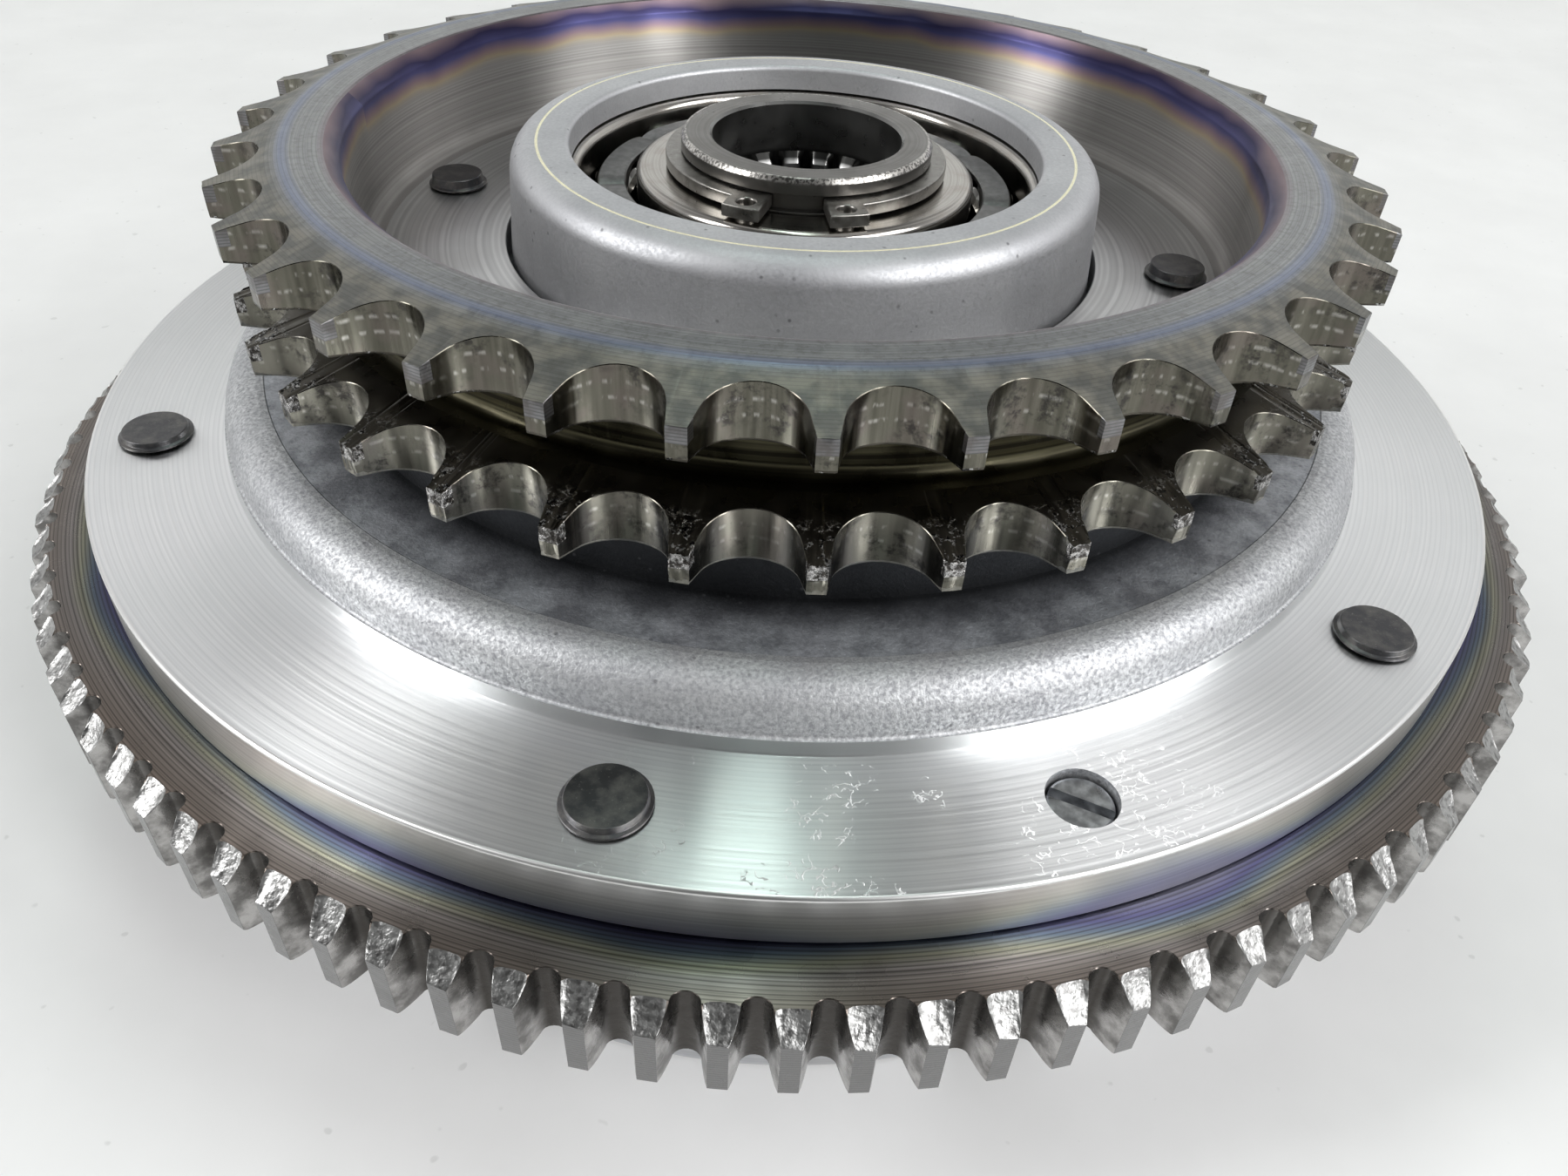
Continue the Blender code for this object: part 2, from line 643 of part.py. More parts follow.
def make_hub_sleeve(parts, cutters):
    """The sleeve that the bearing sits on, splined inside for the shaft."""
    top, foot = HUB_TOP, BEARING_TOP - BEARING_WIDTH - CLEARANCE
    groove_bottom, groove_top = CIRCLIP_GROOVE_HEIGHTS
    disc_top = DISC_TOP + CLEARANCE
    profile = [
        (HUB_RADIUS - 0.9, top),
        (HUB_RADIUS, top - 0.9),
        (HUB_RADIUS, groove_top),
        (CIRCLIP_GROOVE_RADIUS, groove_top),
        (CIRCLIP_GROOVE_RADIUS, groove_bottom),
        (HUB_RADIUS, groove_bottom),
        (HUB_RADIUS, foot),
        (SLEEVE_SHOULDER_RADIUS, foot),
        (SLEEVE_SHOULDER_RADIUS, disc_top),
        (SLEEVE_FOOT_RADIUS, disc_top),
        (SLEEVE_FOOT_RADIUS, HUB_BOTTOM),
        (HUB_SPLINE_RADIUS, HUB_BOTTOM),
        (HUB_SPLINE_RADIUS, HUB_SPLINE_TOP - 1.4),
        (HUB_BORE_RADIUS, HUB_SPLINE_TOP),
        (HUB_BORE_RADIUS, top - 0.4),
        (HUB_BORE_RADIUS + 0.4, top),
    ]
    sleeve = turned("hub_sleeve", profile, RING_STEPS, parts, GROUND_STEEL)
    teeth = []
    half = 180.0 / HUB_SPLINES
    for a in angles(HUB_SPLINES):
        narrow = arc(HUB_SPLINE_RADIUS - 1.0, a - half * 0.62, a + half * 0.62, 2)
        wide = arc(HUB_BORE_RADIUS - 0.1, a + half * 0.34, a - half * 0.34, 2)
        teeth.append(narrow + wide)
    cut(sleeve, flat("spline_cutter", teeth, HUB_BOTTOM - 2.0, HUB_SPLINE_TOP - 0.1, cutters))
    return sleeve


def make_hub_drum(parts, cutters):
    """The disc, reaction flange and slotted drum that carry the steel plates."""
    groove_bottom, groove_top = SPRING_GROOVE_HEIGHTS
    bore = SLEEVE_FOOT_RADIUS + CLEARANCE
    profile = [
        (DISC_EDGE_RADIUS, DISC_TOP),
        (DISC_EDGE_RADIUS + 6.0, REACTION_TOP),
        (REACTION_RADIUS, REACTION_TOP),
        (REACTION_RADIUS, REACTION_FACE),
        (DRUM_RADIUS, REACTION_FACE),
        (DRUM_RADIUS, DRUM_BOTTOM),
        (DRUM_INNER_RADIUS, DRUM_BOTTOM),
        (DRUM_INNER_RADIUS, groove_bottom),
        (SPRING_GROOVE_RADIUS, groove_bottom),
        (SPRING_GROOVE_RADIUS, groove_top),
        (DRUM_INNER_RADIUS, groove_top),
        (DRUM_INNER_RADIUS, DISC_BOTTOM - 2.0),
        (DRUM_INNER_RADIUS - 2.0, DISC_BOTTOM),
        (bore, DISC_BOTTOM),
        (bore, DISC_TOP),
    ]
    drum = turned("hub_drum", profile, RING_STEPS, parts, GROUND_STEEL)
    slot_height = REACTION_FACE - DRUM_BOTTOM + 4.0
    middle = REACTION_FACE - slot_height / 2
    groove_places = []
    window_places = []
    window_height = PRESSURE_TOP - DRUM_BOTTOM + 6.0
    for a in angles(DRUM_SLOTS):
        groove_places.append((on_circle(DRUM_SLOT_ROOT + 3.0, a, middle), a))
        window_places.append((on_circle(DRUM_SLOT_ROOT, a, PRESSURE_TOP + 1.5 - window_height / 2), a))
    cut(drum, boxes("drum_groove_cutter", groove_places, (6.0, DRUM_SLOT_WIDTH, slot_height), cutters))
    window = (12.0, DRUM_SLOT_WIDTH + 0.4, window_height)
    cut(drum, boxes("drum_window_cutter", window_places, window, cutters))
    return drum


def make_circlip(parts):
    """External circlip: a ring open at the front, with an eyed lug at each end."""
    bottom, top = CIRCLIP_HEIGHTS
    inner, outer = CIRCLIP_RADII
    start = CIRCLIP_ANGLE + CIRCLIP_LUG_SPREAD
    end = CIRCLIP_ANGLE + 360.0 - CIRCLIP_LUG_SPREAD
    lug = CIRCLIP_LUG_HALF_ANGLE
    outline = (
        arc(CIRCLIP_LUG_RADIUS, start - lug, start + lug, 3)
        + arc(outer, start + lug, end - lug, 25)
        + arc(CIRCLIP_LUG_RADIUS, end - lug, end + lug, 3)
        + arc(inner, end + lug, start - lug, 29)
    )
    eyes = []
    for a in (start, end):
        x, y = arc(CIRCLIP_EYE_CIRCLE, a, a, 2)[0]
        eyes.append([(x + u, y + v) for u, v in circle(CIRCLIP_EYE_RADIUS, 10)])
    return flat("hub_circlip", [outline, *eyes], bottom, top, parts, STEEL)


def eared_outline(radius, ear_radius, count, width, phase, mid_points):
    """A circle with square ears: the outline of a plate that keys into slots of the given width."""
    half = math.degrees(width / 2 / ear_radius)
    made = []
    for a in angles(count, phase):
        made += arc(ear_radius, a - half, a + half, 2)
        made += arc(radius, a + half, a + 360.0 / count - half, mid_points)
    return made


def make_friction_plate(index, top, parts):
    inner, outer = FRICTION_RADII
    width = SLOT_WIDTH - 2 * CLEARANCE
    outline = eared_outline(outer, WALL_RADIUS - 0.9, WALL_SLOTS, width, 180.0 / WALL_SLOTS, 3)
    hole = circle(inner, 16)
    name = f"friction_plate_{index}"
    flat(name, [outline, hole], top - FRICTION_THICKNESS, top, parts, FRICTION)


def make_steel_plate(index, top, parts):
    inner, outer = STEEL_RADII
    tooth = DRUM_SLOT_ROOT + CLEARANCE
    hole = eared_outline(inner, tooth, DRUM_SLOTS, DRUM_SLOT_WIDTH - 2 * CLEARANCE, 0.0, 3)
    name = f"steel_plate_{index}"
    outlines = [circle(outer, SMALL_RING_STEPS), hole]
    return flat(name, outlines, top - STEEL_THICKNESS, top, parts, GROUND_STEEL)


def make_pack(parts):
    """Friction and steel plates in turn, starting and ending with a friction plate."""
    steels = []
    top = REACTION_FACE - CLEARANCE
    for i in range(1, FRICTION_PLATES + 1):
        make_friction_plate(i, top, parts)
        top -= FRICTION_THICKNESS + CLEARANCE
        if i <= STEEL_PLATES:
            steels.append(make_steel_plate(i, top, parts))
            top -= STEEL_THICKNESS + CLEARANCE
    return steels


# ---- pressure plate, spring and release parts ------------------------------------------------------------


def make_pressure_plate(parts):
    half = math.degrees((DRUM_SLOT_WIDTH / 2 - CLEARANCE) / DRUM_RADIUS)
    pitch = 360.0 / DRUM_SLOTS
    windows = []
    for a in angles(DRUM_SLOTS):
        outer = arc(DRUM_RADIUS + 0.8, a + half, a + pitch - half, 4)
        inner = arc(DRUM_INNER_RADIUS - 0.8, a + pitch - half, a + half, 4)
        windows.append(outer + inner)
    outlines = [circle(STEEL_RADII[1], RING_STEPS), circle(RELEASE_HOLE_RADIUS, SMALL_RING_STEPS), *windows]
    return flat("pressure_plate", outlines, PRESSURE_BOTTOM, PRESSURE_TOP, parts, ALUMINIUM)


def make_diaphragm_spring(parts, cutters):
    """A coned ring with radial slots from its inner edge."""
    inner, outer = DIAPHRAGM_RADII
    top = PRESSURE_BOTTOM - CLEARANCE - 0.2
    bottom = top - DIAPHRAGM_THICKNESS
    fall = DIAPHRAGM_FALL
    profile = [(outer, top), (outer, bottom), (inner, bottom - fall), (inner, top - fall)]
    spring = turned("diaphragm_spring", profile, RING_STEPS, parts, DARK_STEEL)
    slot_angles = angles(DIAPHRAGM_SLOTS, 180.0 / DIAPHRAGM_SLOTS)
    places = [(on_circle(DIAPHRAGM_SLOT_MIDDLE, a, bottom), a) for a in slot_angles]
    cut(spring, boxes("spring_slot_cutter", places, DIAPHRAGM_SLOT_SIZE, cutters))
    return spring


def make_release_parts(parts):
    hole = RELEASE_HOLE_RADIUS
    neck = SCREW_RADIUS + CLEARANCE
    lip_bottom = PRESSURE_TOP + CLEARANCE
    lip_top = lip_bottom + RELEASE_LIP_THICKNESS
    below = PRESSURE_BOTTOM - CLEARANCE
    groove_depth, groove_width = RELEASE_RING_GROOVE
    profile = [
        (hole + RELEASE_LIP, lip_top),
        (hole + RELEASE_LIP, lip_bottom),
        (hole - 0.4, lip_bottom),
        (hole - 0.4, below),
        (hole - groove_depth, below),
        (hole - groove_depth, below - groove_width),
        (hole - 0.4, below - groove_width),
        (hole - 0.4, below - RELEASE_DEPTH),
        (neck, below - RELEASE_DEPTH),
        (neck, lip_top),
    ]
    plate = turned("release_plate", profile, SMALL_RING_STEPS, parts, STEEL)
    ring_top = below - CLEARANCE
    ring_heights = (ring_top - RELEASE_RING_THICKNESS, ring_top)
    inward, outward = RELEASE_RING_REACH
    ring_radii = (hole - inward, hole + outward)
    ring = split_ring("release_snap_ring", ring_radii, ring_heights, RELEASE_RING_GAP, 24, parts, DARK_STEEL)
    nut_top = below - RELEASE_DEPTH - CLEARANCE
    hexagon = circle(NUT_ACROSS_FLATS / 2 / math.cos(math.pi / 6), 6)
    nut_outlines = [hexagon, circle(neck, 12)]
    nut = flat("adjuster_lock_nut", nut_outlines, nut_top - NUT_THICKNESS, nut_top, parts, STEEL)
    screw_top = PRESSURE_TOP + SCREW_ABOVE_PLATE
    screw_bottom = nut_top - NUT_THICKNESS - SCREW_BELOW_NUT
    chamfer = SCREW_CHAMFER
    screw_profile = [
        (0.0, screw_top),
        (SCREW_RADIUS - chamfer, screw_top),
        (SCREW_RADIUS, screw_top - chamfer),
        (SCREW_RADIUS, screw_bottom + chamfer),
        (SCREW_RADIUS - chamfer, screw_bottom),
        (0.0, screw_bottom),
    ]
    screw = turned("adjuster_screw", screw_profile, 16, parts, STEEL, closed=False)
    return plate, ring, nut, screw


def main():
    clear_scene()
    parts = collection("wet_clutch")
    cutters = collection("cutters")
    cutters.hide_render = True

    hub_axis = bpy.data.objects.new("hub_axis", None)
    bearing_axis = bpy.data.objects.new("bearing_axis", None)
    pressure_axis = bpy.data.objects.new("pressure_axis", None)
    for empty in (hub_axis, bearing_axis, pressure_axis):
        parts.objects.link(empty)
    pressure_axis.parent = hub_axis

    make_shell(parts, cutters)
    make_sprocket(parts, cutters)
    make_ring_gear(parts, cutters)
    make_rivets(parts)
    make_balance_screw(parts, cutters)

    on_hub = [make_bearing(parts, cutters, bearing_axis)]
    make_bearing_ring(parts)
    on_hub.append(make_hub_sleeve(parts, cutters))
    on_hub.append(make_hub_drum(parts, cutters))
    on_hub.append(make_circlip(parts))
    on_hub += make_pack(parts)
    on_hub.append(make_diaphragm_spring(parts, cutters))
    on_hub.append(make_spring_ring(parts))
    for obj in on_hub:
        obj.parent = hub_axis

    on_pressure = [make_pressure_plate(parts), *make_release_parts(parts)]
    for obj in on_pressure:
        obj.parent = pressure_axis

    bake([obj for obj in parts.objects if obj.type == "MESH"])


main()
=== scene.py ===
"""The looks of a motorcycle wet clutch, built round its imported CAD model.

Sizes are in millimetres and heights are measured from the machined top face of the flange, as in the CAD.
Every body is turned or toothed about the Z axis, so most meshes are stacks of loops round that axis.
"""

import json
import math

import bmesh
import bpy
import numpy as np
from mathutils import Matrix, Vector


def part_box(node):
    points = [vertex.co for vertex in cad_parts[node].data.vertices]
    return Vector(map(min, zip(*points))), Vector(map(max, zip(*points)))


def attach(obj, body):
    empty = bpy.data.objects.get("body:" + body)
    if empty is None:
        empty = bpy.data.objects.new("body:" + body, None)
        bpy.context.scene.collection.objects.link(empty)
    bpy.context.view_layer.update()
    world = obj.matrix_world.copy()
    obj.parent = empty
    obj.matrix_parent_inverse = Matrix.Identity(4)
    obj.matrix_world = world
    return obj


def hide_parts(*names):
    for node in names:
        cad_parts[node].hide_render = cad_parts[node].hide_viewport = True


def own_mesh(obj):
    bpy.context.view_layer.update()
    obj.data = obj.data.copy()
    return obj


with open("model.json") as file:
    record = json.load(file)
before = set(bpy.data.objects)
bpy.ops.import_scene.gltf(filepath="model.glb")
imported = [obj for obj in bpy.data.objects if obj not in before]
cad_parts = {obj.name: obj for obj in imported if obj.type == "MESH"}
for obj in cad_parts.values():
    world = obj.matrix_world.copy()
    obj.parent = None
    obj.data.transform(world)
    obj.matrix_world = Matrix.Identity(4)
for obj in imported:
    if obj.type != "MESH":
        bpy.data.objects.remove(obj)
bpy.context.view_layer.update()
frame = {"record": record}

MM = 0.001
RANDOM = np.random.default_rng(7)


def mount_height(name):
    """The height of one of the record's mounts, in millimetres above the floor."""
    found = [mount for mount in frame["record"]["mounts"] if mount["name"] == name]
    return found[0]["pos_m"][2] / MM


FLANGE = mount_height("flange_face")


def low(node):
    """The lowest height of a CAD node, from the flange face."""
    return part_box(node)[0].z / MM - FLANGE


def high(node):
    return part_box(node)[1].z / MM - FLANGE


def middle(node):
    """The centre of a CAD node's box: x, y and height from the flange face."""
    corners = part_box(node)
    centre = (corners[0] + corners[1]) / 2 / MM
    return centre.x, centre.y, centre.z - FLANGE


# Shell
FLANGE_RADIUS = 99.3
DOME_FOOT_RADIUS = 82.0
PLATEAU_RADIUS = 75.6
PLATEAU_HEIGHT = 7.8
SEAT_RADIUS = 66.5
BOSS_RADIUS = 40.0
BOSS_FOOT_RADIUS = 41.4
BOSS_FLAT_RADIUS = 36.3
BOSS_LIP_RADIUS = 32.2
BOSS_TOP = mount_height("boss_face") - FLANGE
SEAT_HEIGHT = 14.7
DOME_FOOT_HEIGHT = 1.9
CEILING_HEIGHT = 8.2
SNAP_GROOVE_RADIUS = 38.2
SNAP_GROOVE_BOTTOM = 10.9
SNAP_GROOVE_TOP = 12.7
WALL_RADIUS = 85.0
WALL_INNER_RADIUS = 79.0
WALL_SLOTS = 8
SLOT_WIDTH = 14.0
SLOT_TOP = -8.0

# Rivets and balance screw
RIVETS = 6
RIVET_SHANK_RADIUS = 2.9
SCREW_RADIUS = 3.5
SCREW_HOLE_RADIUS = 3.8
CAP_RADIUS = 0.6

# Chain sprocket
SPROCKET_TEETH = 36
SPROCKET_PHASE = 2.5
SPROCKET_TIP_RADIUS = 76.4
SPROCKET_ROOT_RADIUS = 69.9
TOOTH_GAP_RADIUS = 5.1
TOOTH_GAP_HALF_WIDTH = 5.65
SPROCKET_TOP = high("chain_sprocket")
SPROCKET_BOTTOM = low("chain_sprocket")
SPROCKET_ROW_SPACING = 14.15
SPROCKET_ROW_WIDTH = 7.2
SPROCKET_BORE_RADIUS = 60.7
SPROCKET_WEB_TOP = 20.9
TOOTH_FACE_RADIUS = 67.4
TOOTH_UNDER_RADIUS = 68.0
UPPER_FALL = 2.1
LOWER_RISE = 1.5
CHAIN_GROOVE_RADIUS = 64.6

# Starter ring gear
RING_TEETH = 102
RING_PHASE = -169.47
RING_TIP_RADIUS = 108.5
RING_ROOT_RADIUS = 104.8
RING_BORE_RADIUS = 85.4
RING_TOP = high("starter_ring_gear")
RING_BOTTOM = low("starter_ring_gear")

# Bearing and hub
BEARING_TOP = high("bearing_inner_race")
BEARING_BOTTOM = low("bearing_inner_race")
BEARING_MIDDLE = (BEARING_TOP + BEARING_BOTTOM) / 2
BEARING_RADIUS = 36.0
BEARING_BORE_RADIUS = 17.5
INNER_RACE_RADIUS = 23.4
OUTER_RACE_RADIUS = 31.0
BALLS = 9
BALL_RADIUS = 5.55
BALL_CIRCLE = 26.9
BALL_CLEARANCE = 0.3
HUB_RADIUS = 17.2
HUB_TOP = high("hub_sleeve")
HUB_BOTTOM = low("hub_sleeve")
HUB_BORE_RADIUS = 13.0
HUB_SPLINE_RADIUS = 11.6
HUB_SPLINES = 18
HUB_SPLINE_TOP = 27.4
CIRCLIP_GROOVE_DEPTH = 1.0
CIRCLIP_GROOVE_BOTTOM = 30.2
CIRCLIP_GROOVE_TOP = 32.4
DRUM_RADIUS = 56.0
DRUM_INNER_RADIUS = 50.5
DRUM_SLOTS = 8

# Plate pack and release parts
STEEL_PLATE_RADIUS = 76.6
LINING_RADIUS = 78.0
LINING_BORE_RADIUS = 58.5
LINING_THICKNESS = 0.6
RELEASE_NECK_RADIUS = 21.6
ADJUSTER_HOLE_RADIUS = 4.3
ADJUSTER_RADIUS = 4.0
THREAD_ROOT_RADIUS = 3.55
THREAD_PITCH = 0.7
NUT_ACROSS_FLATS = 13.0

# The camera, found from the circles that it sees: its place over the flange, its turn and its lens
CAMERA_PLACE = (0.0, -161.41, 89.16)
CAMERA_PITCH = 40.14
CAMERA_YAW = 0.14
CAMERA_ROLL = 3.29
CAMERA_LENS = 26.666
SENSOR_WIDTH = 36.0
LAMP_AIM = Vector((0.0, 0.0, 0.06))
STAGE_REACH = 3000.0
TABLE_LEVEL = -0.05
WALL_HEIGHT = 420.0


# ---- node trees ------------------------------------------------------------------


class Nodes:
    """Short ways to add nodes to a node tree and to link them."""

    def __init__(self, tree):
        self.tree = tree

    def link(self, source, target):
        self.tree.links.new(source, target)

    def node(self, kind, **settings):
        made = self.tree.nodes.new(kind)
        for name, value in settings.items():
            setattr(made, name, value)
        return made

    def feed(self, socket, value):
        """Links a socket to an output, or sets it to a constant."""
        if hasattr(value, "links"):
            self.link(value, socket)
        elif isinstance(value, tuple) and len(value) == 3 and socket.type == "RGBA":
            socket.default_value = (*value, 1.0)
        else:
            socket.default_value = value

    def node_of(self, kind, *values, **settings):
        """A node with its first inputs fed."""
        made = self.node(kind, **settings)
        for socket, value in zip(made.inputs, values):
            self.feed(socket, value)
        return made

    def math(self, operation, first, second=0.0):
        return self.node_of("ShaderNodeMath", first, second, operation=operation).outputs[0]

    def times(self, first, second):
        return self.math("MULTIPLY", first, second)

    def vector(self, operation, first, second=(0.0, 0.0, 0.0), scale=1.0):
        made = self.node_of("ShaderNodeVectorMath", first, second, operation=operation)
        if operation == "SCALE":
            made.inputs["Scale"].default_value = scale
        return made.outputs["Value" if operation == "LENGTH" else "Vector"]

    def span(self, value, start, end, low_value=0.0, high_value=1.0):
        """A value's way from start to end, as a share or between two other values."""
        return self.node_of("ShaderNodeMapRange", value, start, end, low_value, high_value).outputs[0]

    def band(self, value, centre, width, softness):
        """1 within a band of a value and 0 outside it, with soft edges."""
        distance = self.math("ABSOLUTE", self.math("SUBTRACT", value, centre))
        return self.span(distance, width / 2 + softness, width / 2)

    def mix(self, share, first, second):
        """The first colour, and as the share rises more of the second."""
        made = self.node("ShaderNodeMix", data_type="RGBA")
        for socket, value in ((made.inputs[0], share), (made.inputs[6], first), (made.inputs[7], second)):
            self.feed(socket, value)
        return made.outputs[2]

    def blend(self, value, start, end, first, second, most=1.0):
        """The first colour up to a value's start, and the most of the second from its end."""
        return self.mix(self.span(value, start, end, 0.0, most), first, second)

    def ramp(self, value, stops):
        """Colours along a value from 0 to 1."""
        made = self.node("ShaderNodeValToRGB")
        self.link(value, made.inputs[0])
        elements = made.color_ramp.elements
        while len(elements) < len(stops):
            elements.new(1.0)
        for element, (position, colour) in zip(elements, stops):
            element.position = position
            element.color = (*colour, 1.0)
        return made.outputs["Color"]


class Look(Nodes):
    """A material: a Principled BSDF, with the textures that vary its colour, finish and relief."""

    def __init__(self, name, metallic=1.0, anisotropic=0.0):
        self.material = bpy.data.materials.new(name)
        self.material.use_nodes = True
        super().__init__(self.material.node_tree)
        self.shader = self.tree.nodes["Principled BSDF"]
        self.shader.inputs["Metallic"].default_value = metallic
        self.shader.inputs["Anisotropic"].default_value = anisotropic
        self.shader.inputs["Anisotropic Rotation"].default_value = 0.25
        if anisotropic:
            tangent = self.node("ShaderNodeTangent", direction_type="RADIAL", axis="Z")
            self.link(tangent.outputs[0], self.shader.inputs["Tangent"])
        place = self.node("ShaderNodeTexCoord").outputs["Object"]
        self.place = self.vector("SCALE", place, scale=1.0 / MM)
        self.x, self.y, self.z = self.node_of("ShaderNodeSeparateXYZ", self.place).outputs
        flat = self.node_of("ShaderNodeCombineXYZ", self.x, self.y).outputs[0]
        self.radius = self.vector("LENGTH", flat)
        self.height = self.math("SUBTRACT", self.z, FLANGE)
        self.angle = self.math("ARCTAN2", self.y, self.x)

    def texture(self, kind, where, socket="Vector", **settings):
        """A texture at a place. Its settings are those of its inputs, by their names in small letters."""
        made = self.node(kind, noise_dimensions="1D") if socket == "W" else self.node(kind)
        self.link(where, made.inputs[socket])
        for name, value in settings.items():
            made.inputs[name.capitalize()].default_value = value
        return made

    def noise(self, scale, detail=2.0, roughness=0.5):
        """Smooth noise in space. The scale is the number of lumps in a millimetre."""
        where = self.vector("MULTIPLY", self.place, (scale, scale, scale))
        made = self.texture("ShaderNodeTexNoise", where, scale=1.0, detail=detail, roughness=roughness)
        return made.outputs["Fac"]

    def lines(self, value, scale, detail=3.0):
        """Noise along one value only: concentric lines when it is the radius."""
        return self.texture("ShaderNodeTexNoise", value, "W", scale=scale, detail=detail).outputs["Fac"]

    def grooves(self, value, pitch):
        """Even tool lines, one in each pitch of a value."""
        return self.math("SINE", self.times(value, 2.0 * math.pi / pitch))

    def streaks(self, scale, length):
        """Noise drawn out along the axis, round the body: marks that run down a wall."""
        around = self.times(self.angle, scale)
        along = self.math("DIVIDE", self.z, length)
        where = self.node_of("ShaderNodeCombineXYZ", around, along, self.radius).outputs[0]
        return self.texture("ShaderNodeTexNoise", where, scale=1.0, detail=2.0).outputs["Fac"]

    def colour(self, value):
        """Sets the colour that the next layer goes over."""
        self.base = value
        self.feed(self.shader.inputs["Base Color"], value)

    def tones(self, value, start, end, first, second, most=1.0):
        """Two colours, the first up to a value's start and the second from its end."""
        self.colour(self.blend(value, start, end, first, second, most))

    def over(self, value, start, end, colour, most=1.0):
        """A layer that rises as a value goes from start to end."""
        self.tones(value, start, end, self.base, colour, most)

    def mask(self, share, colour, most=1.0):
        """A layer as strong as a share that is known already."""
        self.colour(self.mix(share if most == 1.0 else self.times(share, most), self.base, colour))

    def rough(self, value):
        self.feed(self.shader.inputs["Roughness"], value)

    def finish(self, noise, start, end):
        """A roughness that goes from start to end as a noise rises."""
        self.rough(self.span(noise, 0.3, 0.7, start, end))

    def bump(self, *layers):
        """Relief from layers of (height, size in millimetres), one bump node after another."""
        normal = None
        for value, size in layers:
            made = self.node("ShaderNodeBump")
            made.inputs["Strength"].default_value = 1.0
            made.inputs["Distance"].default_value = size * MM
            self.link(value, made.inputs["Height"])
            if normal:
                self.link(normal, made.inputs["Normal"])
            normal = made.outputs[0]
        self.link(normal, self.shader.inputs["Normal"])

    def turned(self, lines, tones, stains, spread, stain):
        """Two tones along tool lines, and a stain with its spread: the noise's start, end and most."""
        start, end, most = spread
        self.tones(lines, 0.3, 0.7, *tones)
        self.over(stains, start, end, stain, most)


# ---- materials -------------------------------------------------------------------


def material(**options):
    """Turns a function that paints a look into one that makes the material of that name."""

    def wrap(paint):
        def make():
            look = Look(paint.__name__, **options)
            paint(look)
            return look.material

        return make

    return wrap


@material(metallic=0.85)
def cast_aluminium(look):
    """Blasted casting: pale grey, with a sparkling grain and a few darker pores; the boss painted lighter as
    painted light; real blotches on the plateau, darkened there as painted shade; a painted shadow under the
    sprocket.
    """
    grain = look.noise(2.1, detail=4.0, roughness=0.65)
    patches = look.noise(0.09, detail=3.0)
    in_cell = look.vector("SCALE", look.place, scale=0.55)
    distance = look.texture("ShaderNodeTexVoronoi", in_cell, scale=1.0).outputs["Distance"]
    pores = look.times(look.span(distance, 0.16, 0.08), look.span(look.noise(0.3), 0.5, 0.6))
    look.tones(grain, 0.36, 0.64, (0.33, 0.335, 0.35), (0.66, 0.67, 0.68))
    # The boss, the top of the part, is painted lighter than the casting below it: painted light.
    on_boss = look.span(look.height, SEAT_HEIGHT - 0.5, SEAT_HEIGHT + 0.5)
    look.mask(on_boss, (0.60, 0.605, 0.62), 0.8)
    look.over(patches, 0.35, 0.7, (0.34, 0.345, 0.37), 0.4)
    across = PLATEAU_RADIUS - SEAT_RADIUS
    on_plateau = look.band(look.radius, SEAT_RADIUS + across / 2, across, 0.15)
    below_web = look.span(look.height, SEAT_HEIGHT - 0.2, SEAT_HEIGHT - 0.8)
    plateau = look.times(on_plateau, below_web)
    # On the plateau under the sprocket: real blotches, darkened and tinted blue as painted shade and painted
    # reflection of the sprocket above.
    clouds = look.noise(0.2, detail=6.0, roughness=0.7)
    blotches_and_painted_shade = look.blend(clouds, 0.40, 0.60, (0.20, 0.21, 0.235), (0.50, 0.52, 0.56))
    look.mask(plateau, blotches_and_painted_shade, 0.8)
    # Near-black at the foot of the seat, under the sprocket: a painted shadow.
    painted_shadow = look.times(look.span(look.radius, SEAT_RADIUS + 6.0, SEAT_RADIUS + 0.5), below_web)
    look.mask(painted_shadow, (0.03, 0.032, 0.035), 0.97)
    look.mask(pores, (0.16, 0.16, 0.17), 0.7)
    look.finish(grain, 0.62, 0.44)
    look.bump((look.times(grain, look.span(on_boss, 0.0, 1.0, 1.0, 0.25)), 0.08))


@material(anisotropic=0.95)
def turned_aluminium(look):
    """Faced aluminium: bright, with fine concentric tool lines and, in places, crazed white marks."""
    lines = look.lines(look.radius, 2.6, detail=2.0)
    tool = look.grooves(look.radius, 0.62)
    clouds = look.noise(0.035, detail=2.0)
    look.tones(lines, 0.3, 0.7, (0.86, 0.87, 0.88), (0.96, 0.965, 0.97))
    look.over(tool, 0.0, 1.0, (0.52, 0.53, 0.54), 0.22)
    look.over(clouds, 0.35, 0.7, (0.70, 0.74, 0.73), 0.35)
    nicks = crazing(look)
    look.mask(nicks, (1.0, 1.0, 1.0))
    look.rough(look.math("ADD", look.span(lines, 0.3, 0.7, 0.33, 0.40), look.times(nicks, 0.4)))
    look.bump((lines, 0.002), (nicks, 0.02))


@material()
def turned_edge(look):
    """The flange's upright edge: smooth, darker, with lines round it."""
    lines = look.lines(look.z, 2.4, detail=2.0)
    tones = (0.72, 0.72, 0.72), (0.88, 0.88, 0.88)
    stains = look.noise(0.06, detail=3.0)
    look.turned(lines, tones, stains, (0.45, 0.7, 0.4), (0.50, 0.49, 0.47))
    look.finish(stains, 0.30, 0.38)


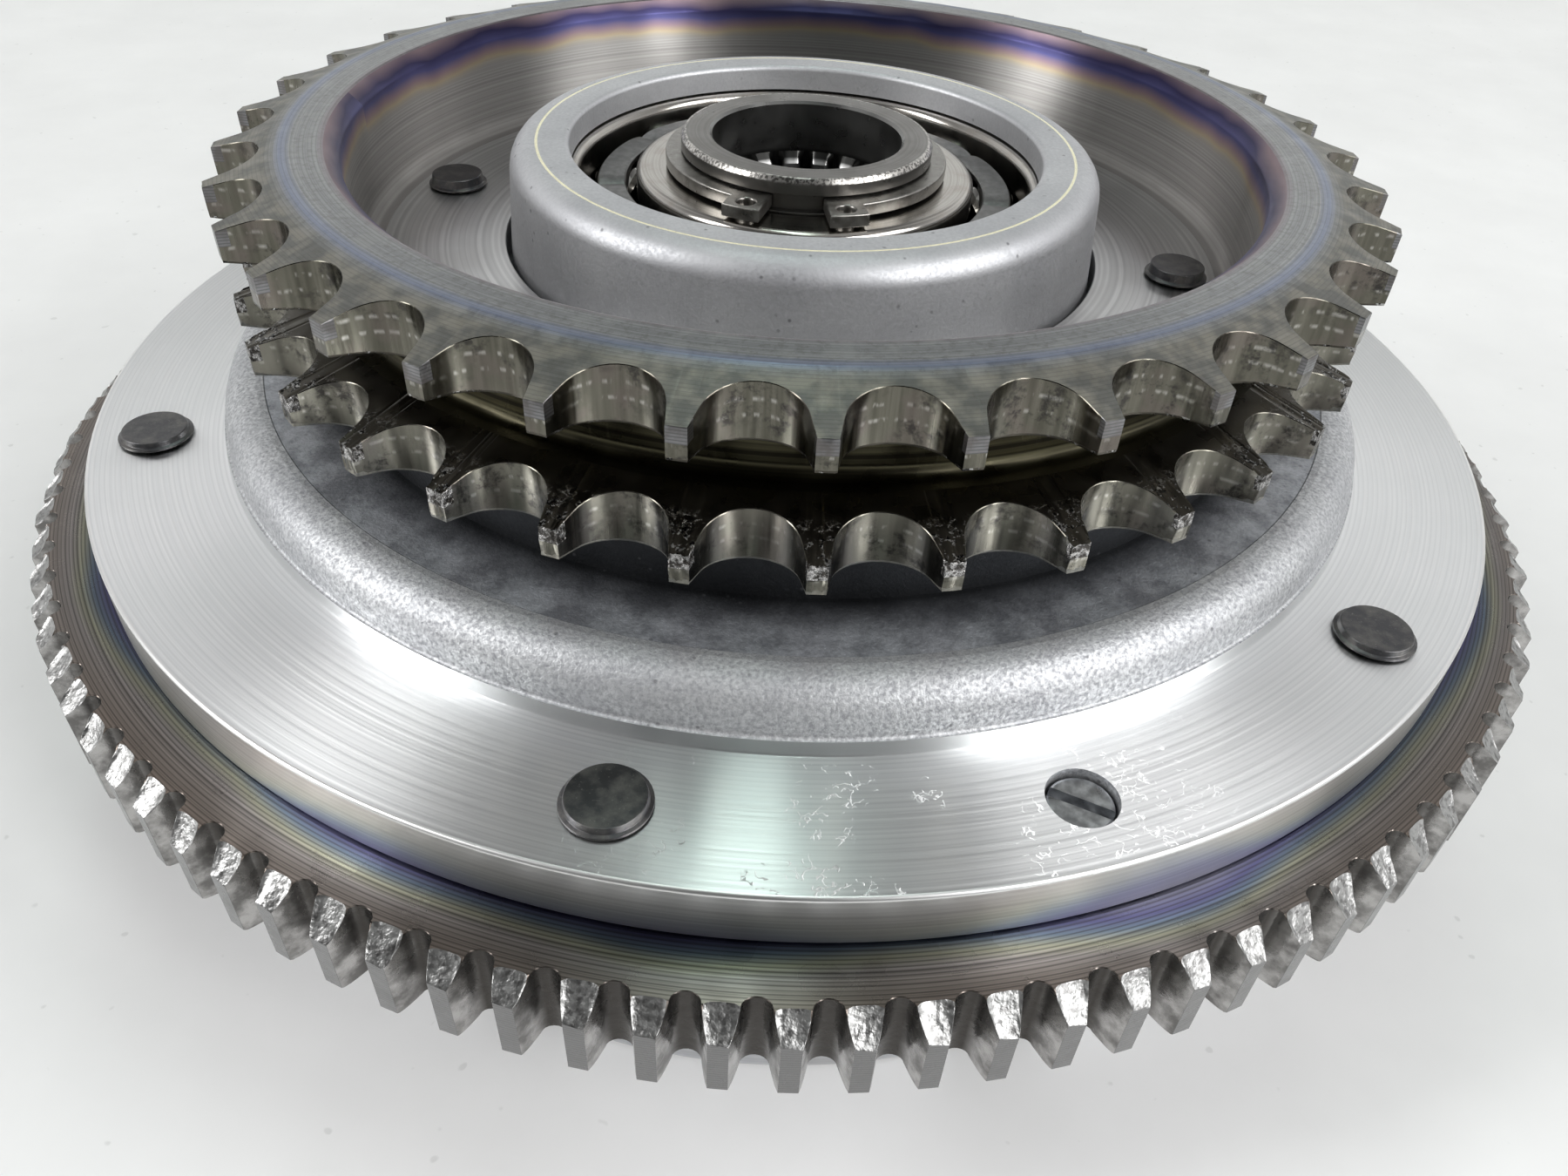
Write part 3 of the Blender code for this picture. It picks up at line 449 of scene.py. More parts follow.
def crazing(look):
    """Short crooked marks in a few patches near the balance screw, on the flange's face only."""
    colours = look.texture("ShaderNodeTexNoise", look.place, scale=0.55).outputs["Color"]
    bend = look.vector("SUBTRACT", colours, (0.5, 0.5, 0.5))
    where = look.vector("ADD", look.place, look.vector("SCALE", bend, scale=5.0))
    cells = look.texture("ShaderNodeTexVoronoi", where, scale=0.5)
    cells.feature = "DISTANCE_TO_EDGE"
    cracks = look.span(cells.outputs["Distance"], 0.045, 0.025)
    broken = look.span(look.noise(0.8, detail=1.0), 0.50, 0.53)
    patches = look.span(look.noise(0.11, detail=2.0), 0.50, 0.53)
    degrees = look.times(look.angle, 180.0 / math.pi)
    front = look.band(degrees, -80.0, 22.0, 12.0)
    on_face = look.span(look.radius, DOME_FOOT_RADIUS + 1.0, DOME_FOOT_RADIUS + 1.5)
    kept = look.times(look.times(broken, patches), look.times(front, on_face))
    return look.times(cracks, kept)


@material(anisotropic=0.4)
def skirt_aluminium(look):
    """The turned outer wall and inside of the basket: duller, with lines round the axis."""
    lines = look.lines(look.z, 1.8)
    tones = (0.50, 0.51, 0.53), (0.68, 0.69, 0.71)
    stains = look.noise(0.05, detail=4.0)
    look.turned(lines, tones, stains, (0.5, 0.75, 0.5), (0.34, 0.31, 0.27))
    look.finish(stains, 0.3, 0.45)
    look.bump((lines, 0.02))


@material()
def bright_line(look):
    """The thin line where the boss was faced."""
    look.colour(look.mix(look.noise(0.8), (0.96, 0.93, 0.64), (0.80, 0.77, 0.56)))
    look.finish(look.noise(1.5), 0.12, 0.25)


@material(anisotropic=0.3)
def sprocket_face(look):
    """The turned side of the sprocket: grey steel, a blue line, and brown towards the teeth."""
    lines = look.lines(look.radius, 2.2)
    clouds = look.noise(0.08, detail=3.0)
    look.tones(lines, 0.3, 0.7, (0.21, 0.22, 0.225), (0.33, 0.34, 0.345))
    look.over(clouds, 0.4, 0.7, (0.24, 0.245, 0.25), 0.4)
    grime = look.span(look.noise(1.1, detail=5.0, roughness=0.7), 0.5, 0.6, 0.0, 0.45)
    look.mask(grime, (0.15, 0.15, 0.14))
    dull = look.span(look.noise(0.3, detail=5.0, roughness=0.6), 0.5, 0.62, 0.0, 0.5)
    look.mask(dull, (0.36, 0.365, 0.36))
    blue = look.band(look.radius, TOOTH_FACE_RADIUS - 0.2, 0.5, 0.8)
    look.mask(blue, (0.20, 0.25, 0.40), 0.5)
    brown = look.span(look.radius, TOOTH_FACE_RADIUS + 0.3, TOOTH_FACE_RADIUS + 2.0)
    beige = look.span(look.noise(0.35, detail=4.0), 0.42, 0.6)
    toothed_colour = look.mix(beige, (0.13, 0.128, 0.112), (0.27, 0.255, 0.21))
    look.mask(brown, toothed_colour, 0.75)
    look.over(look.grooves(look.radius, 0.5), 0.5, 1.0, (0.09, 0.09, 0.085), 0.3)
    rim = look.span(look.radius, SPROCKET_BORE_RADIUS + 2.6, SPROCKET_BORE_RADIUS + 0.6)
    look.mask(rim, (0.30, 0.20, 0.24), 0.7)
    toothed = look.span(look.radius, TOOTH_FACE_RADIUS - 0.5, TOOTH_FACE_RADIUS + 1.0, 0.0, 0.14)
    look.rough(look.math("ADD", look.span(look.noise(0.3, detail=3.0), 0.3, 0.7, 0.28, 0.42), toothed))
    look.bump((lines, 0.006), (look.noise(1.2, detail=3.0), 0.008))


@material()
def tooth_flank(look):
    """The hardened flanks of the sprocket's teeth: dark, polished and stained, with marks along the axis;
    the lower row is painted lighter as painted light against its shade.
    """
    fine = look.streaks(150.0, 16.0)
    wide = look.streaks(34.0, 14.0)
    specks = look.span(look.noise(0.55, detail=6.0, roughness=0.72), 0.5, 0.62)
    stained = look.span(look.noise(0.16, detail=2.0), 0.40, 0.56, 0.0, 0.8)
    look.tones(fine, 0.35, 0.65, (0.10, 0.096, 0.078), (0.15, 0.144, 0.118))
    look.over(wide, 0.5, 0.75, (0.042, 0.04, 0.03), 0.6)
    below = look.math("SUBTRACT", SPROCKET_TOP, look.height)
    rows = look.math("FRACT", look.math("DIVIDE", below, SPROCKET_ROW_SPACING))
    contact = look.math("ADD", look.band(rows, 0.17, 0.006, 0.02), look.band(rows, 0.29, 0.006, 0.02))
    dashes = look.times(contact, look.span(look.streaks(110.0, 3.0), 0.5, 0.6))
    look.mask(dashes, (0.42, 0.41, 0.38), 0.7)
    reddish = look.span(look.noise(0.22, detail=3.0), 0.5, 0.65, 0.0, 0.5)
    look.mask(reddish, (0.15, 0.125, 0.115))
    # The lower row's flanks are painted lighter: painted light to offset the shade they sit in.
    lower_row = look.span(below, SPROCKET_ROW_WIDTH + 1.0, SPROCKET_ROW_SPACING - 1.0, 0.0, 0.3)
    look.mask(lower_row, (0.27, 0.26, 0.225))
    look.mask(look.times(specks, stained), (0.03, 0.028, 0.028))
    look.finish(fine, 0.18, 0.28)
    look.bump((fine, 0.003), (wide, 0.03))


@material()
def tooth_tip(look):
    """The tips of the teeth and their battered edges: turned steel, grey, with lines round the axis."""
    turned_lines = look.grooves(look.z, 0.35)
    patches = look.noise(0.35, detail=4.0, roughness=0.6)
    look.colour(look.mix(turned_lines, (0.20, 0.20, 0.205), (0.12, 0.12, 0.122)))
    look.over(patches, 0.45, 0.6, (0.13, 0.12, 0.115), 0.75)
    look.rough(look.span(patches, 0.35, 0.65, 0.28, 0.42))
    look.bump((look.noise(1.4, detail=3.0), 0.05))


@material()
def battered_tip(look):
    """The upper corners of the lower row's tips, crushed by the chain: crinkled, bright and black."""
    crumpled = look.noise(1.5, detail=4.0, roughness=0.65)
    fine = look.noise(4.0, detail=2.0)
    look.tones(crumpled, 0.44, 0.56, (0.06, 0.055, 0.05), (0.50, 0.49, 0.48))
    look.over(fine, 0.55, 0.65, (0.08, 0.075, 0.07), 0.6)
    look.finish(fine, 0.14, 0.34)
    look.bump((crumpled, 0.35), (fine, 0.06))


@material(anisotropic=0.97)
def sprocket_bore(look):
    """The inside of the sprocket's rim: satin steel under a heat-tinted band at the top."""
    wander = look.span(look.lines(look.angle, 3.0, detail=2.0), 0.3, 0.7, -0.6, 0.6)
    depth = look.math("ADD", look.math("SUBTRACT", SPROCKET_TOP, look.height), wander)
    lines = look.lines(look.z, 2.4)
    steel = look.blend(lines, 0.3, 0.7, (0.30, 0.29, 0.28), (0.42, 0.41, 0.39))
    tint = look.ramp(
        look.span(depth, 0.0, 6.0),
        (
            (0.0, (0.27, 0.20, 0.22)),
            (0.22, (0.05, 0.045, 0.11)),
            (0.42, (0.10, 0.10, 0.24)),
            (0.62, (0.30, 0.22, 0.25)),
            (0.80, (0.46, 0.38, 0.26)),
            (1.0, (0.37, 0.355, 0.33)),
        ),
    )
    look.tones(depth, 4.6, 6.2, tint, steel)
    look.finish(look.streaks(12.0, 30.0), 0.38, 0.48)
    look.bump((lines, 0.012))


@material(anisotropic=0.5)
def sprocket_web(look):
    """The floor of the sprocket: turned steel, lighter than the rim."""
    lines = look.lines(look.radius, 1.6)
    tones = (0.46, 0.46, 0.465), (0.62, 0.62, 0.62)
    clouds = look.noise(0.06, detail=3.0)
    look.turned(lines, tones, clouds, (0.45, 0.7, 0.4), (0.42, 0.41, 0.40))
    look.finish(clouds, 0.28, 0.42)
    look.bump((lines, 0.006))


@material()
def chain_groove(look):
    """The turned groove between the rows: near-black as painted shade over dark, oily steel, with a thin
    yellow painted highlight at its top.
    """
    lines = look.lines(look.z, 1.6, detail=2.0)
    # Near-black tones: painted shade in the gap between the rows, over dark oily steel.
    look.tones(lines, 0.35, 0.65, (0.022, 0.020, 0.014), (0.07, 0.065, 0.040))
    on_row = look.span(look.radius, TOOTH_UNDER_RADIUS - 2.0, TOOTH_UNDER_RADIUS)
    look.mask(on_row, (0.085, 0.078, 0.066), 0.85)
    crumpled = look.span(look.noise(0.9, detail=5.0, roughness=0.7), 0.53, 0.56)
    beaten = look.times(look.span(look.radius, 70.5, 73.5), crumpled)
    dents = look.blend(look.noise(2.5), 0.5, 0.56, (0.012, 0.012, 0.012), (0.45, 0.45, 0.44))
    look.mask(beaten, dents)
    # A thin yellow line at the top of the groove: a painted highlight.
    painted_highlight_line = look.band(look.height, SPROCKET_TOP - SPROCKET_ROW_WIDTH - 1.4, 0.25, 0.2)
    look.mask(painted_highlight_line, (0.80, 0.70, 0.26))
    look.finish(look.noise(0.3), 0.22, 0.38)
    look.bump((lines, 0.01), (beaten, 0.08))


@material(anisotropic=0.85)
def ring_face(look):
    """The turned side of the ring gear: dark brown-grey steel, deeply scored, with rainbow heat tints."""
    tool = look.grooves(look.radius, 0.46)
    lines = look.lines(look.radius, 2.4)
    wander = look.span(look.noise(0.025, detail=1.0), 0.3, 0.7, -1.8, 1.8)
    tint = look.ramp(
        look.span(look.math("ADD", look.radius, wander), 98.0, 108.0),
        (
            (0.0, (0.12, 0.12, 0.17)),
            (0.16, (0.07, 0.07, 0.15)),
            (0.28, (0.10, 0.13, 0.17)),
            (0.40, (0.25, 0.25, 0.19)),
            (0.52, (0.25, 0.23, 0.22)),
            (0.66, (0.26, 0.23, 0.21)),
            (1.0, (0.27, 0.22, 0.185)),
        ),
    )
    look.tones(lines, 0.32, 0.68, tint, (0.035, 0.033, 0.03), 0.45)
    look.over(tool, 0.0, 1.0, (0.024, 0.022, 0.02), 0.55)
    look.finish(look.noise(0.2, detail=3.0), 0.24, 0.36)
    look.bump((lines, 0.012))


@material()
def ring_flank(look):
    """The flanks and tips of the ring gear's teeth: hobbed steel, dark in the gaps, polished outside."""
    worn = look.span(look.radius, RING_ROOT_RADIUS + 0.2, RING_ROOT_RADIUS + 1.8)
    hobbed = look.grooves(look.z, 0.4)
    patches = look.noise(0.32, detail=4.0, roughness=0.6)
    outside = look.span(look.radius, RING_TIP_RADIUS - 0.06, RING_TIP_RADIUS - 0.02)
    sides = look.blend(patches, 0.38, 0.62, (0.16, 0.155, 0.15), (0.44, 0.43, 0.42))
    tips = look.blend(hobbed, 0.0, 1.0, (0.21, 0.207, 0.207), (0.12, 0.12, 0.12), 0.5)
    metal = look.mix(outside, sides, tips)
    look.colour(look.mix(worn, (0.045, 0.04, 0.036), metal))
    look.finish(patches, 0.36, 0.18)
    look.bump((look.noise(0.9, detail=3.0), 0.04))


@material()
def hammered_end(look):
    """The ends of the ring gear's teeth, hammered bright by the starter pinion."""
    dents = look.noise(1.3, detail=3.0)
    look.tones(dents, 0.38, 0.5, (0.20, 0.198, 0.195), (0.36, 0.36, 0.355))
    look.finish(look.noise(1.6, detail=2.0), 0.32, 0.46)
    look.bump((look.noise(0.4, detail=1.0), 0.22), (look.noise(1.5, detail=2.0), 0.14))


@material()
def black_oxide(look):
    """Rivet heads: black oxide, smooth, with faint brown clouds and a few pale specks."""
    mottle = look.noise(0.5, detail=4.0, roughness=0.6)
    fine = look.noise(3.5, detail=2.0)
    look.tones(mottle, 0.4, 0.66, (0.085, 0.085, 0.09), (0.16, 0.155, 0.15))
    look.over(fine, 0.66, 0.74, (0.26, 0.25, 0.24), 0.5)
    look.finish(mottle, 0.3, 0.44)
    look.bump((fine, 0.01), (mottle, 0.02))


@material()
def plated_screw(look):
    marks = look.noise(0.7, detail=4.0)
    look.tones(marks, 0.4, 0.65, (0.40, 0.41, 0.43), (0.66, 0.67, 0.69))
    look.finish(marks, 0.26, 0.44)
    look.bump((marks, 0.03))


@material(anisotropic=0.4)
def bearing_steel(look):
    """Ground races: warm grey, with fine lines round the axis."""
    lines = look.lines(look.radius, 3.0, detail=2.0)
    tones = (0.34, 0.325, 0.30), (0.50, 0.48, 0.45)
    stains = look.noise(0.25, detail=3.0)
    look.turned(lines, tones, stains, (0.52, 0.72, 0.45), (0.34, 0.29, 0.24))
    look.finish(stains, 0.13, 0.24)
    look.bump((lines, 0.008))


@material()
def ball_steel(look):
    look.colour(look.mix(look.noise(0.2), (0.24, 0.235, 0.22), (0.36, 0.355, 0.34)))
    look.finish(look.noise(0.6), 0.05, 0.1)


@material()
def cage_steel(look):
    """The pressed ball cage: satin dark grey."""
    marks = look.noise(0.8, detail=4.0)
    look.tones(marks, 0.4, 0.65, (0.17, 0.17, 0.168), (0.27, 0.27, 0.265))
    look.finish(marks, 0.34, 0.5)
    look.bump((marks, 0.03))


@material(anisotropic=0.35)
def hub_steel(look):
    """The ground hub: warm grey, lightly oil-stained, with a speckled painted highlight round the top edge.
    """
    lines = look.lines(look.radius, 2.4)
    stains = look.noise(0.25, detail=3.0)
    look.tones(lines, 0.3, 0.7, (0.15, 0.145, 0.137), (0.20, 0.193, 0.182))
    look.over(stains, 0.48, 0.7, (0.14, 0.13, 0.117), 0.3)
    # A bright speckled ring on the top edge: a painted highlight.
    at_edge = look.band(look.radius, HUB_RADIUS - 0.35, 0.5, 0.2)
    at_top = look.span(look.height, HUB_TOP - 0.8, HUB_TOP - 0.5)
    speckled = look.span(look.noise(2.6, detail=3.0), 0.44, 0.54)
    worn = look.times(look.times(at_top, at_edge), speckled)
    look.mask(worn, (0.62, 0.60, 0.57))
    look.finish(stains, 0.26, 0.36)
    look.bump((look.noise(2.2, detail=3.0), 0.005))


@material()
def hub_bore(look):
    """The bore and its splines: silver steel, near-black in the spline gaps as painted shade, darker and
    oily up the plain wall.
    """
    stains = look.noise(0.4, detail=2.0)
    metal = look.blend(stains, 0.35, 0.7, (0.70, 0.69, 0.68), (0.85, 0.85, 0.84))
    plain = look.span(look.height, HUB_SPLINE_TOP, HUB_SPLINE_TOP + 0.6)
    # Near-black in the gaps between the splines: painted shade.
    gaps = look.span(look.radius, HUB_SPLINE_RADIUS + 0.2, HUB_SPLINE_RADIUS + 0.7)
    metal = look.mix(gaps, metal, (0.05, 0.05, 0.048))
    look.colour(look.mix(plain, metal, (0.20, 0.20, 0.195)))
    look.finish(stains, 0.26, 0.34)
    look.bump((stains, 0.004))


@material()
def spring_steel(look):
    """Phosphated spring steel: dark grey-brown."""
    marks = look.noise(0.7, detail=4.0, roughness=0.6)
    look.tones(marks, 0.38, 0.64, (0.24, 0.23, 0.215), (0.34, 0.33, 0.31))
    look.over(look.noise(2.6), 0.64, 0.7, (0.50, 0.49, 0.47), 0.5)
    look.finish(marks, 0.26, 0.40)
    look.bump((marks, 0.006))


@material()
def plate_steel(look):
    marks = look.noise(0.4, detail=4.0)
    look.tones(marks, 0.38, 0.66, (0.32, 0.31, 0.29), (0.52, 0.51, 0.49))
    look.finish(marks, 0.28, 0.42)
    look.bump((look.noise(1.5, detail=2.0), 0.02))


@material(metallic=0.0)
def friction_lining(look):
    """Bonded friction material: dark brown fibre with pale flecks."""
    fibre = look.noise(1.4, detail=5.0, roughness=0.7)
    look.tones(fibre, 0.35, 0.65, (0.07, 0.045, 0.03), (0.19, 0.135, 0.09))
    look.over(look.noise(4.0), 0.66, 0.74, (0.36, 0.30, 0.20), 0.6)
    look.finish(fibre, 0.75, 0.95)
    look.bump((fibre, 0.08))


@material(anisotropic=0.3)
def pressure_aluminium(look):
    """The pressure plate: cast, with its flats turned."""
    lines = look.lines(look.radius, 1.3)
    tones = (0.46, 0.47, 0.49), (0.64, 0.65, 0.67)
    grain = look.noise(1.6, detail=3.0)
    look.turned(lines, tones, grain, (0.5, 0.7, 0.5), (0.38, 0.38, 0.39))
    look.finish(grain, 0.3, 0.48)
    look.bump((lines, 0.02), (grain, 0.03))


@material(anisotropic=0.3)
def release_steel(look):
    lines = look.lines(look.radius, 2.0)
    tones = (0.28, 0.27, 0.26), (0.44, 0.43, 0.41)
    stains = look.noise(0.3, detail=4.0)
    look.turned(lines, tones, stains, (0.5, 0.7, 0.6), (0.18, 0.155, 0.12))
    look.finish(stains, 0.2, 0.36)
    look.bump((lines, 0.02))


# ---- meshes ----------------------------------------------------------------------


def rounded(corners, closed=True):
    """A section's points as (radius, height, look), from corners of (radius, height, rounding, look).

    A corner may leave out its look, or both its rounding and its look, where they are 0."""
    corners = [(*corner, *(0.0, 0)[len(corner) - 2 :]) for corner in corners]
    made = []
    count = len(corners)
    for i, (radius, height, rounding, look) in enumerate(corners):
        if not rounding or (not closed and i in (0, count - 1)):
            made.append((radius, height, look))
            continue
        here = np.array((radius, height))
        ways = []
        reach = math.inf
        for neighbour in (corners[i - 1], corners[(i + 1) % count]):
            way = np.array(neighbour[:2]) - here
            length = np.hypot(*way)
            ways.append(way / length)
            reach = min(reach, 0.98 * length * rounding / (rounding + neighbour[2]))
        made += [(x, y, look) for x, y in fillet(here, ways, rounding, reach)]
    return made


def fillet(corner, ways, radius, reach):
    """Points on an arc that rounds a corner off, between the two ways out of it."""
    before, after = ways
    half = math.acos(np.clip(before @ after, -1.0, 1.0)) / 2
    length = min(radius / math.tan(half), reach)
    middle = before + after
    middle /= np.hypot(*middle)
    centre = corner + middle * length / math.cos(half)
    start = corner + before * length - centre
    end = corner + after * length - centre
    sweep = math.copysign(math.pi - 2 * half, start[0] * end[1] - start[1] * end[0])
    steps = max(2, math.ceil(math.degrees(abs(sweep)) / 15.0))
    turns = [sweep * step / steps for step in range(steps + 1)]
    square = np.array((-start[1], start[0]))
    return [centre + start * math.cos(turn) + square * math.sin(turn) for turn in turns]


def loop(radius, height, angles):
    """A circle of points at one radius and height, in millimetres; either may be an array."""
    across = np.broadcast_to(radius, angles.shape)
    up = np.broadcast_to(height, angles.shape)
    return np.stack([across * np.cos(angles), across * np.sin(angles), up], axis=1)


def stacked(corners, angles, closed=False):
    """The loops of a section turned through some angles, and the look of the band after each."""
    section = rounded(corners, closed)
    loops = [loop(radius, height, angles) for radius, height, _ in section]
    return loops, [look for _, _, look in section]


def polar(outline):
    """The radii and the angles of an outline's points."""
    return np.linalg.norm(outline, axis=1), np.arctan2(outline[:, 1], outline[:, 0])


def placed(name, data):
    """A new object in the scene."""
    obj = bpy.data.objects.new(name, data)
    bpy.context.scene.collection.objects.link(obj)
    return obj


def skin(name, loops, band_looks, looks, closed=True):
    """A mesh over a stack of loops with equal counts. Each band between two loops has its own look."""
    count = len(loops[0])
    points = (np.concatenate(loops) + (0.0, 0.0, FLANGE)) * MM
    faces = []
    indices = []
    for band in range(len(loops) if closed else len(loops) - 1):
        here = band * count
        there = (band + 1) % len(loops) * count
        for i in range(count):
            j = (i + 1) % count
            faces.append((here + i, there + i, there + j, here + j))
        indices += np.broadcast_to(band_looks[band], count).tolist()
    if not closed:
        last = (len(loops) - 1) * count
        faces.append(tuple(range(count)))
        faces.append(tuple(range(last + count - 1, last - 1, -1)))
        indices += [band_looks[0], band_looks[-1]]
    mesh = bpy.data.meshes.new(name)
    mesh.from_pydata(points.tolist(), [], faces)
    mesh.polygons.foreach_set("material_index", indices)
    return finished(name, mesh, looks)


def finished(name, mesh, looks, sharp=32.0):
    """An object from a mesh: its looks, and round faces shaded smooth between sharp edges."""
    for look in looks:
        mesh.materials.append(look)
    obj = placed(name, mesh)
    shade(obj, sharp)
    return obj


def shade(obj, sharp=32.0):
    """Smooth shading between sharp edges, with level faces kept flat."""
    mesh = obj.data
    mesh.shade_smooth()
    mesh.set_sharp_from_angle(angle=math.radians(sharp))
    for face in mesh.polygons:
        if abs(face.normal.z) > 0.9999:
            face.use_smooth = False
    weighted = obj.modifiers.new("normals", "WEIGHTED_NORMAL")
    weighted.keep_sharp = True


def turned(name, corners, looks, segments, closed=True, centre=(0.0, 0.0)):
    """A body turned about an upright axis, from its section's corners."""
    angles = np.linspace(0.0, 2.0 * math.pi, segments, endpoint=False)
    loops, band_looks = stacked(corners, angles, closed)
    return skin(name, [points + (*centre, 0.0) for points in loops], band_looks, looks, closed)


def baked(obj):
    """Applies an object's modifiers, but keeps its looks."""
    bpy.context.view_layer.update()
    graph = bpy.context.evaluated_depsgraph_get()
    mesh = bpy.data.meshes.new_from_object(obj.evaluated_get(graph))
    obj.modifiers.clear()
    obj.data = mesh
    return obj


def cut(obj, *cutters):
    """Cuts closed meshes out of an object, then drops them."""
    obj.modifiers.clear()
    for cutter in cutters:
        boolean = obj.modifiers.new("cut", "BOOLEAN")
        boolean.object = cutter
        boolean.operation = "DIFFERENCE"
    baked(obj)
    for cutter in cutters:
        bpy.data.objects.remove(cutter)
    shade(obj)
    return obj


def arc(radius, start, end, count):
    """Points on an arc about the axis, in degrees, both ends included."""
    angles = np.radians(np.linspace(start, end, count))
    return np.stack([radius * np.cos(angles), radius * np.sin(angles)], axis=1)


def circle(radius, count=120):
    return arc(radius, 0.0, 360.0 - 360.0 / count, count)


def slab(name, outlines, bottom, top, looks, bevel=0.2, sharp=32.0):
    """A flat piece with rounded edges: its outlines filled even-odd, between two heights."""
    curve = bpy.data.curves.new(name, "CURVE")
    curve.dimensions = "2D"
    curve.fill_mode = "BOTH"
    curve.extrude = ((top - bottom) / 2 - bevel) * MM
    curve.bevel_depth = bevel * MM
    curve.bevel_resolution = 2
    curve.offset = -bevel * MM
    for outline in outlines:
        spline = curve.splines.new("POLY")
        spline.points.add(len(outline) - 1)
        for point, (x, y) in zip(spline.points, outline):
            point.co = (x * MM, y * MM, 0.0, 1.0)
        spline.use_cyclic_u = True
    drawn = placed(name + "_outline", curve)
    bpy.context.view_layer.update()
    mesh = bpy.data.meshes.new_from_object(drawn.evaluated_get(bpy.context.evaluated_depsgraph_get()))
    bpy.data.objects.remove(drawn)
    work = bmesh.new()
    work.from_mesh(mesh)
    bmesh.ops.remove_doubles(work, verts=work.verts, dist=0.000002)
    bmesh.ops.translate(work, verts=work.verts, vec=(0.0, 0.0, ((top + bottom) / 2 + FLANGE) * MM))
    bmesh.ops.recalc_face_normals(work, faces=work.faces)
    work.to_mesh(mesh)
    work.free()
    mesh.materials.clear()
    return finished(name, mesh, looks, sharp)


def box_cutter(name, places, size):
    """Upright boxes: each place is (radius, degrees, middle height), the size across, along and up."""
    work = bmesh.new()
    for radius, degrees, height in places:
        made = bmesh.ops.create_cube(work, size=1.0)["verts"]
        scale = Matrix.Diagonal((size[0] * MM, size[1] * MM, size[2] * MM, 1.0))
        turn = Matrix.Rotation(math.radians(degrees), 4, "Z")
        shift = Matrix.Translation((radius * MM, 0.0, (height + FLANGE) * MM))
        bmesh.ops.transform(work, verts=made, matrix=turn @ shift @ scale)
    mesh = bpy.data.meshes.new(name)
    work.to_mesh(mesh)
    work.free()
    return placed(name, mesh)


def give(obj, body, slot, *nodes):
    """Puts a piece on its body, in place of CAD nodes. The slot is not used."""
    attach(obj, body)
    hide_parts(*nodes)
    return obj


# ---- shell, rivets and screw -----------------------------------------------------


def make_shell():
    """The shell: boss, sprocket seat, dome, flange and slotted skirt."""
    cast, faced, skirt, line, edge = range(5)
    corners = [
        (BOSS_FLAT_RADIUS, BOSS_TOP, 0.0, line),
        (BOSS_FLAT_RADIUS + 0.36, BOSS_TOP, 0.0, cast),
        (BOSS_RADIUS, BOSS_TOP, 3.3, cast),
        (BOSS_FOOT_RADIUS, SEAT_HEIGHT, 0.0, faced),
        (SEAT_RADIUS, SEAT_HEIGHT, 0.3, cast),
        (SEAT_RADIUS, PLATEAU_HEIGHT, 0.0, cast),
        (PLATEAU_RADIUS, PLATEAU_HEIGHT, 0.0, cast),
        (PLATEAU_RADIUS + 0.15, PLATEAU_HEIGHT + 0.12, 0.0, cast),
        (81.25, PLATEAU_HEIGHT + 0.12, 4.8, cast),
        (81.45, DOME_FOOT_HEIGHT, 0.9, cast),
        (DOME_FOOT_RADIUS - 0.1, DOME_FOOT_HEIGHT, 0.0, faced),
        (DOME_FOOT_RADIUS + 0.1, 0.0, 0.25, faced),
        (FLANGE_RADIUS, 0.0, 0.45, edge),
        (FLANGE_RADIUS, RING_TOP + 0.3, 0.2, edge),
        (WALL_RADIUS, RING_TOP + 0.3, 0.0, skirt),
        (WALL_RADIUS, -FLANGE, 0.8, skirt),
        (WALL_INNER_RADIUS, -FLANGE, 0.8, skirt),
        (WALL_INNER_RADIUS, 0.0, 0.6, cast),
        (77.0, 2.4, 1.0, cast),
        (66.0, 3.2, 1.0, cast),
        (61.0, CEILING_HEIGHT, 1.0, cast),
        (BOSS_FLAT_RADIUS, CEILING_HEIGHT, 0.4, faced),
        (BOSS_FLAT_RADIUS, SNAP_GROOVE_BOTTOM, 0.0, faced),
        (SNAP_GROOVE_RADIUS, SNAP_GROOVE_BOTTOM, 0.0, faced),
        (SNAP_GROOVE_RADIUS, SNAP_GROOVE_TOP, 0.0, faced),
        (BOSS_FLAT_RADIUS, SNAP_GROOVE_TOP, 0.0, faced),
        (BOSS_FLAT_RADIUS, BEARING_TOP + 0.3, 0.0, faced),
        (BOSS_LIP_RADIUS, BEARING_TOP + 0.3, 0.0, cast),
        (BOSS_LIP_RADIUS, BOSS_TOP, 0.7, cast),
    ]
    looks = [cast_aluminium(), turned_aluminium(), skirt_aluminium(), bright_line(), turned_edge()]
    shell = turned("clutch_shell_skin", corners, looks, 256)
    depth = SLOT_TOP + FLANGE + 10.0
    wall = (WALL_RADIUS + WALL_INNER_RADIUS) / 2
    slot_angles = [360.0 / WALL_SLOTS * (i + 0.5) for i in range(WALL_SLOTS)]
    places = [(wall, degrees, SLOT_TOP - depth / 2) for degrees in slot_angles]
    slots = box_cutter("wall_slots", places, (12.0, SLOT_WIDTH, depth))
    x, y, _ = middle("balance_screw")
    hole_corners = [(SCREW_HOLE_RADIUS, 5.0), (SCREW_HOLE_RADIUS, -5.0)]
    hole = turned("balance_hole", hole_corners, [], 48, closed=False, centre=(x, y))
    cut(shell, slots, hole)
    return give(shell, "shell", "shell_aluminium", "clutch_shell")


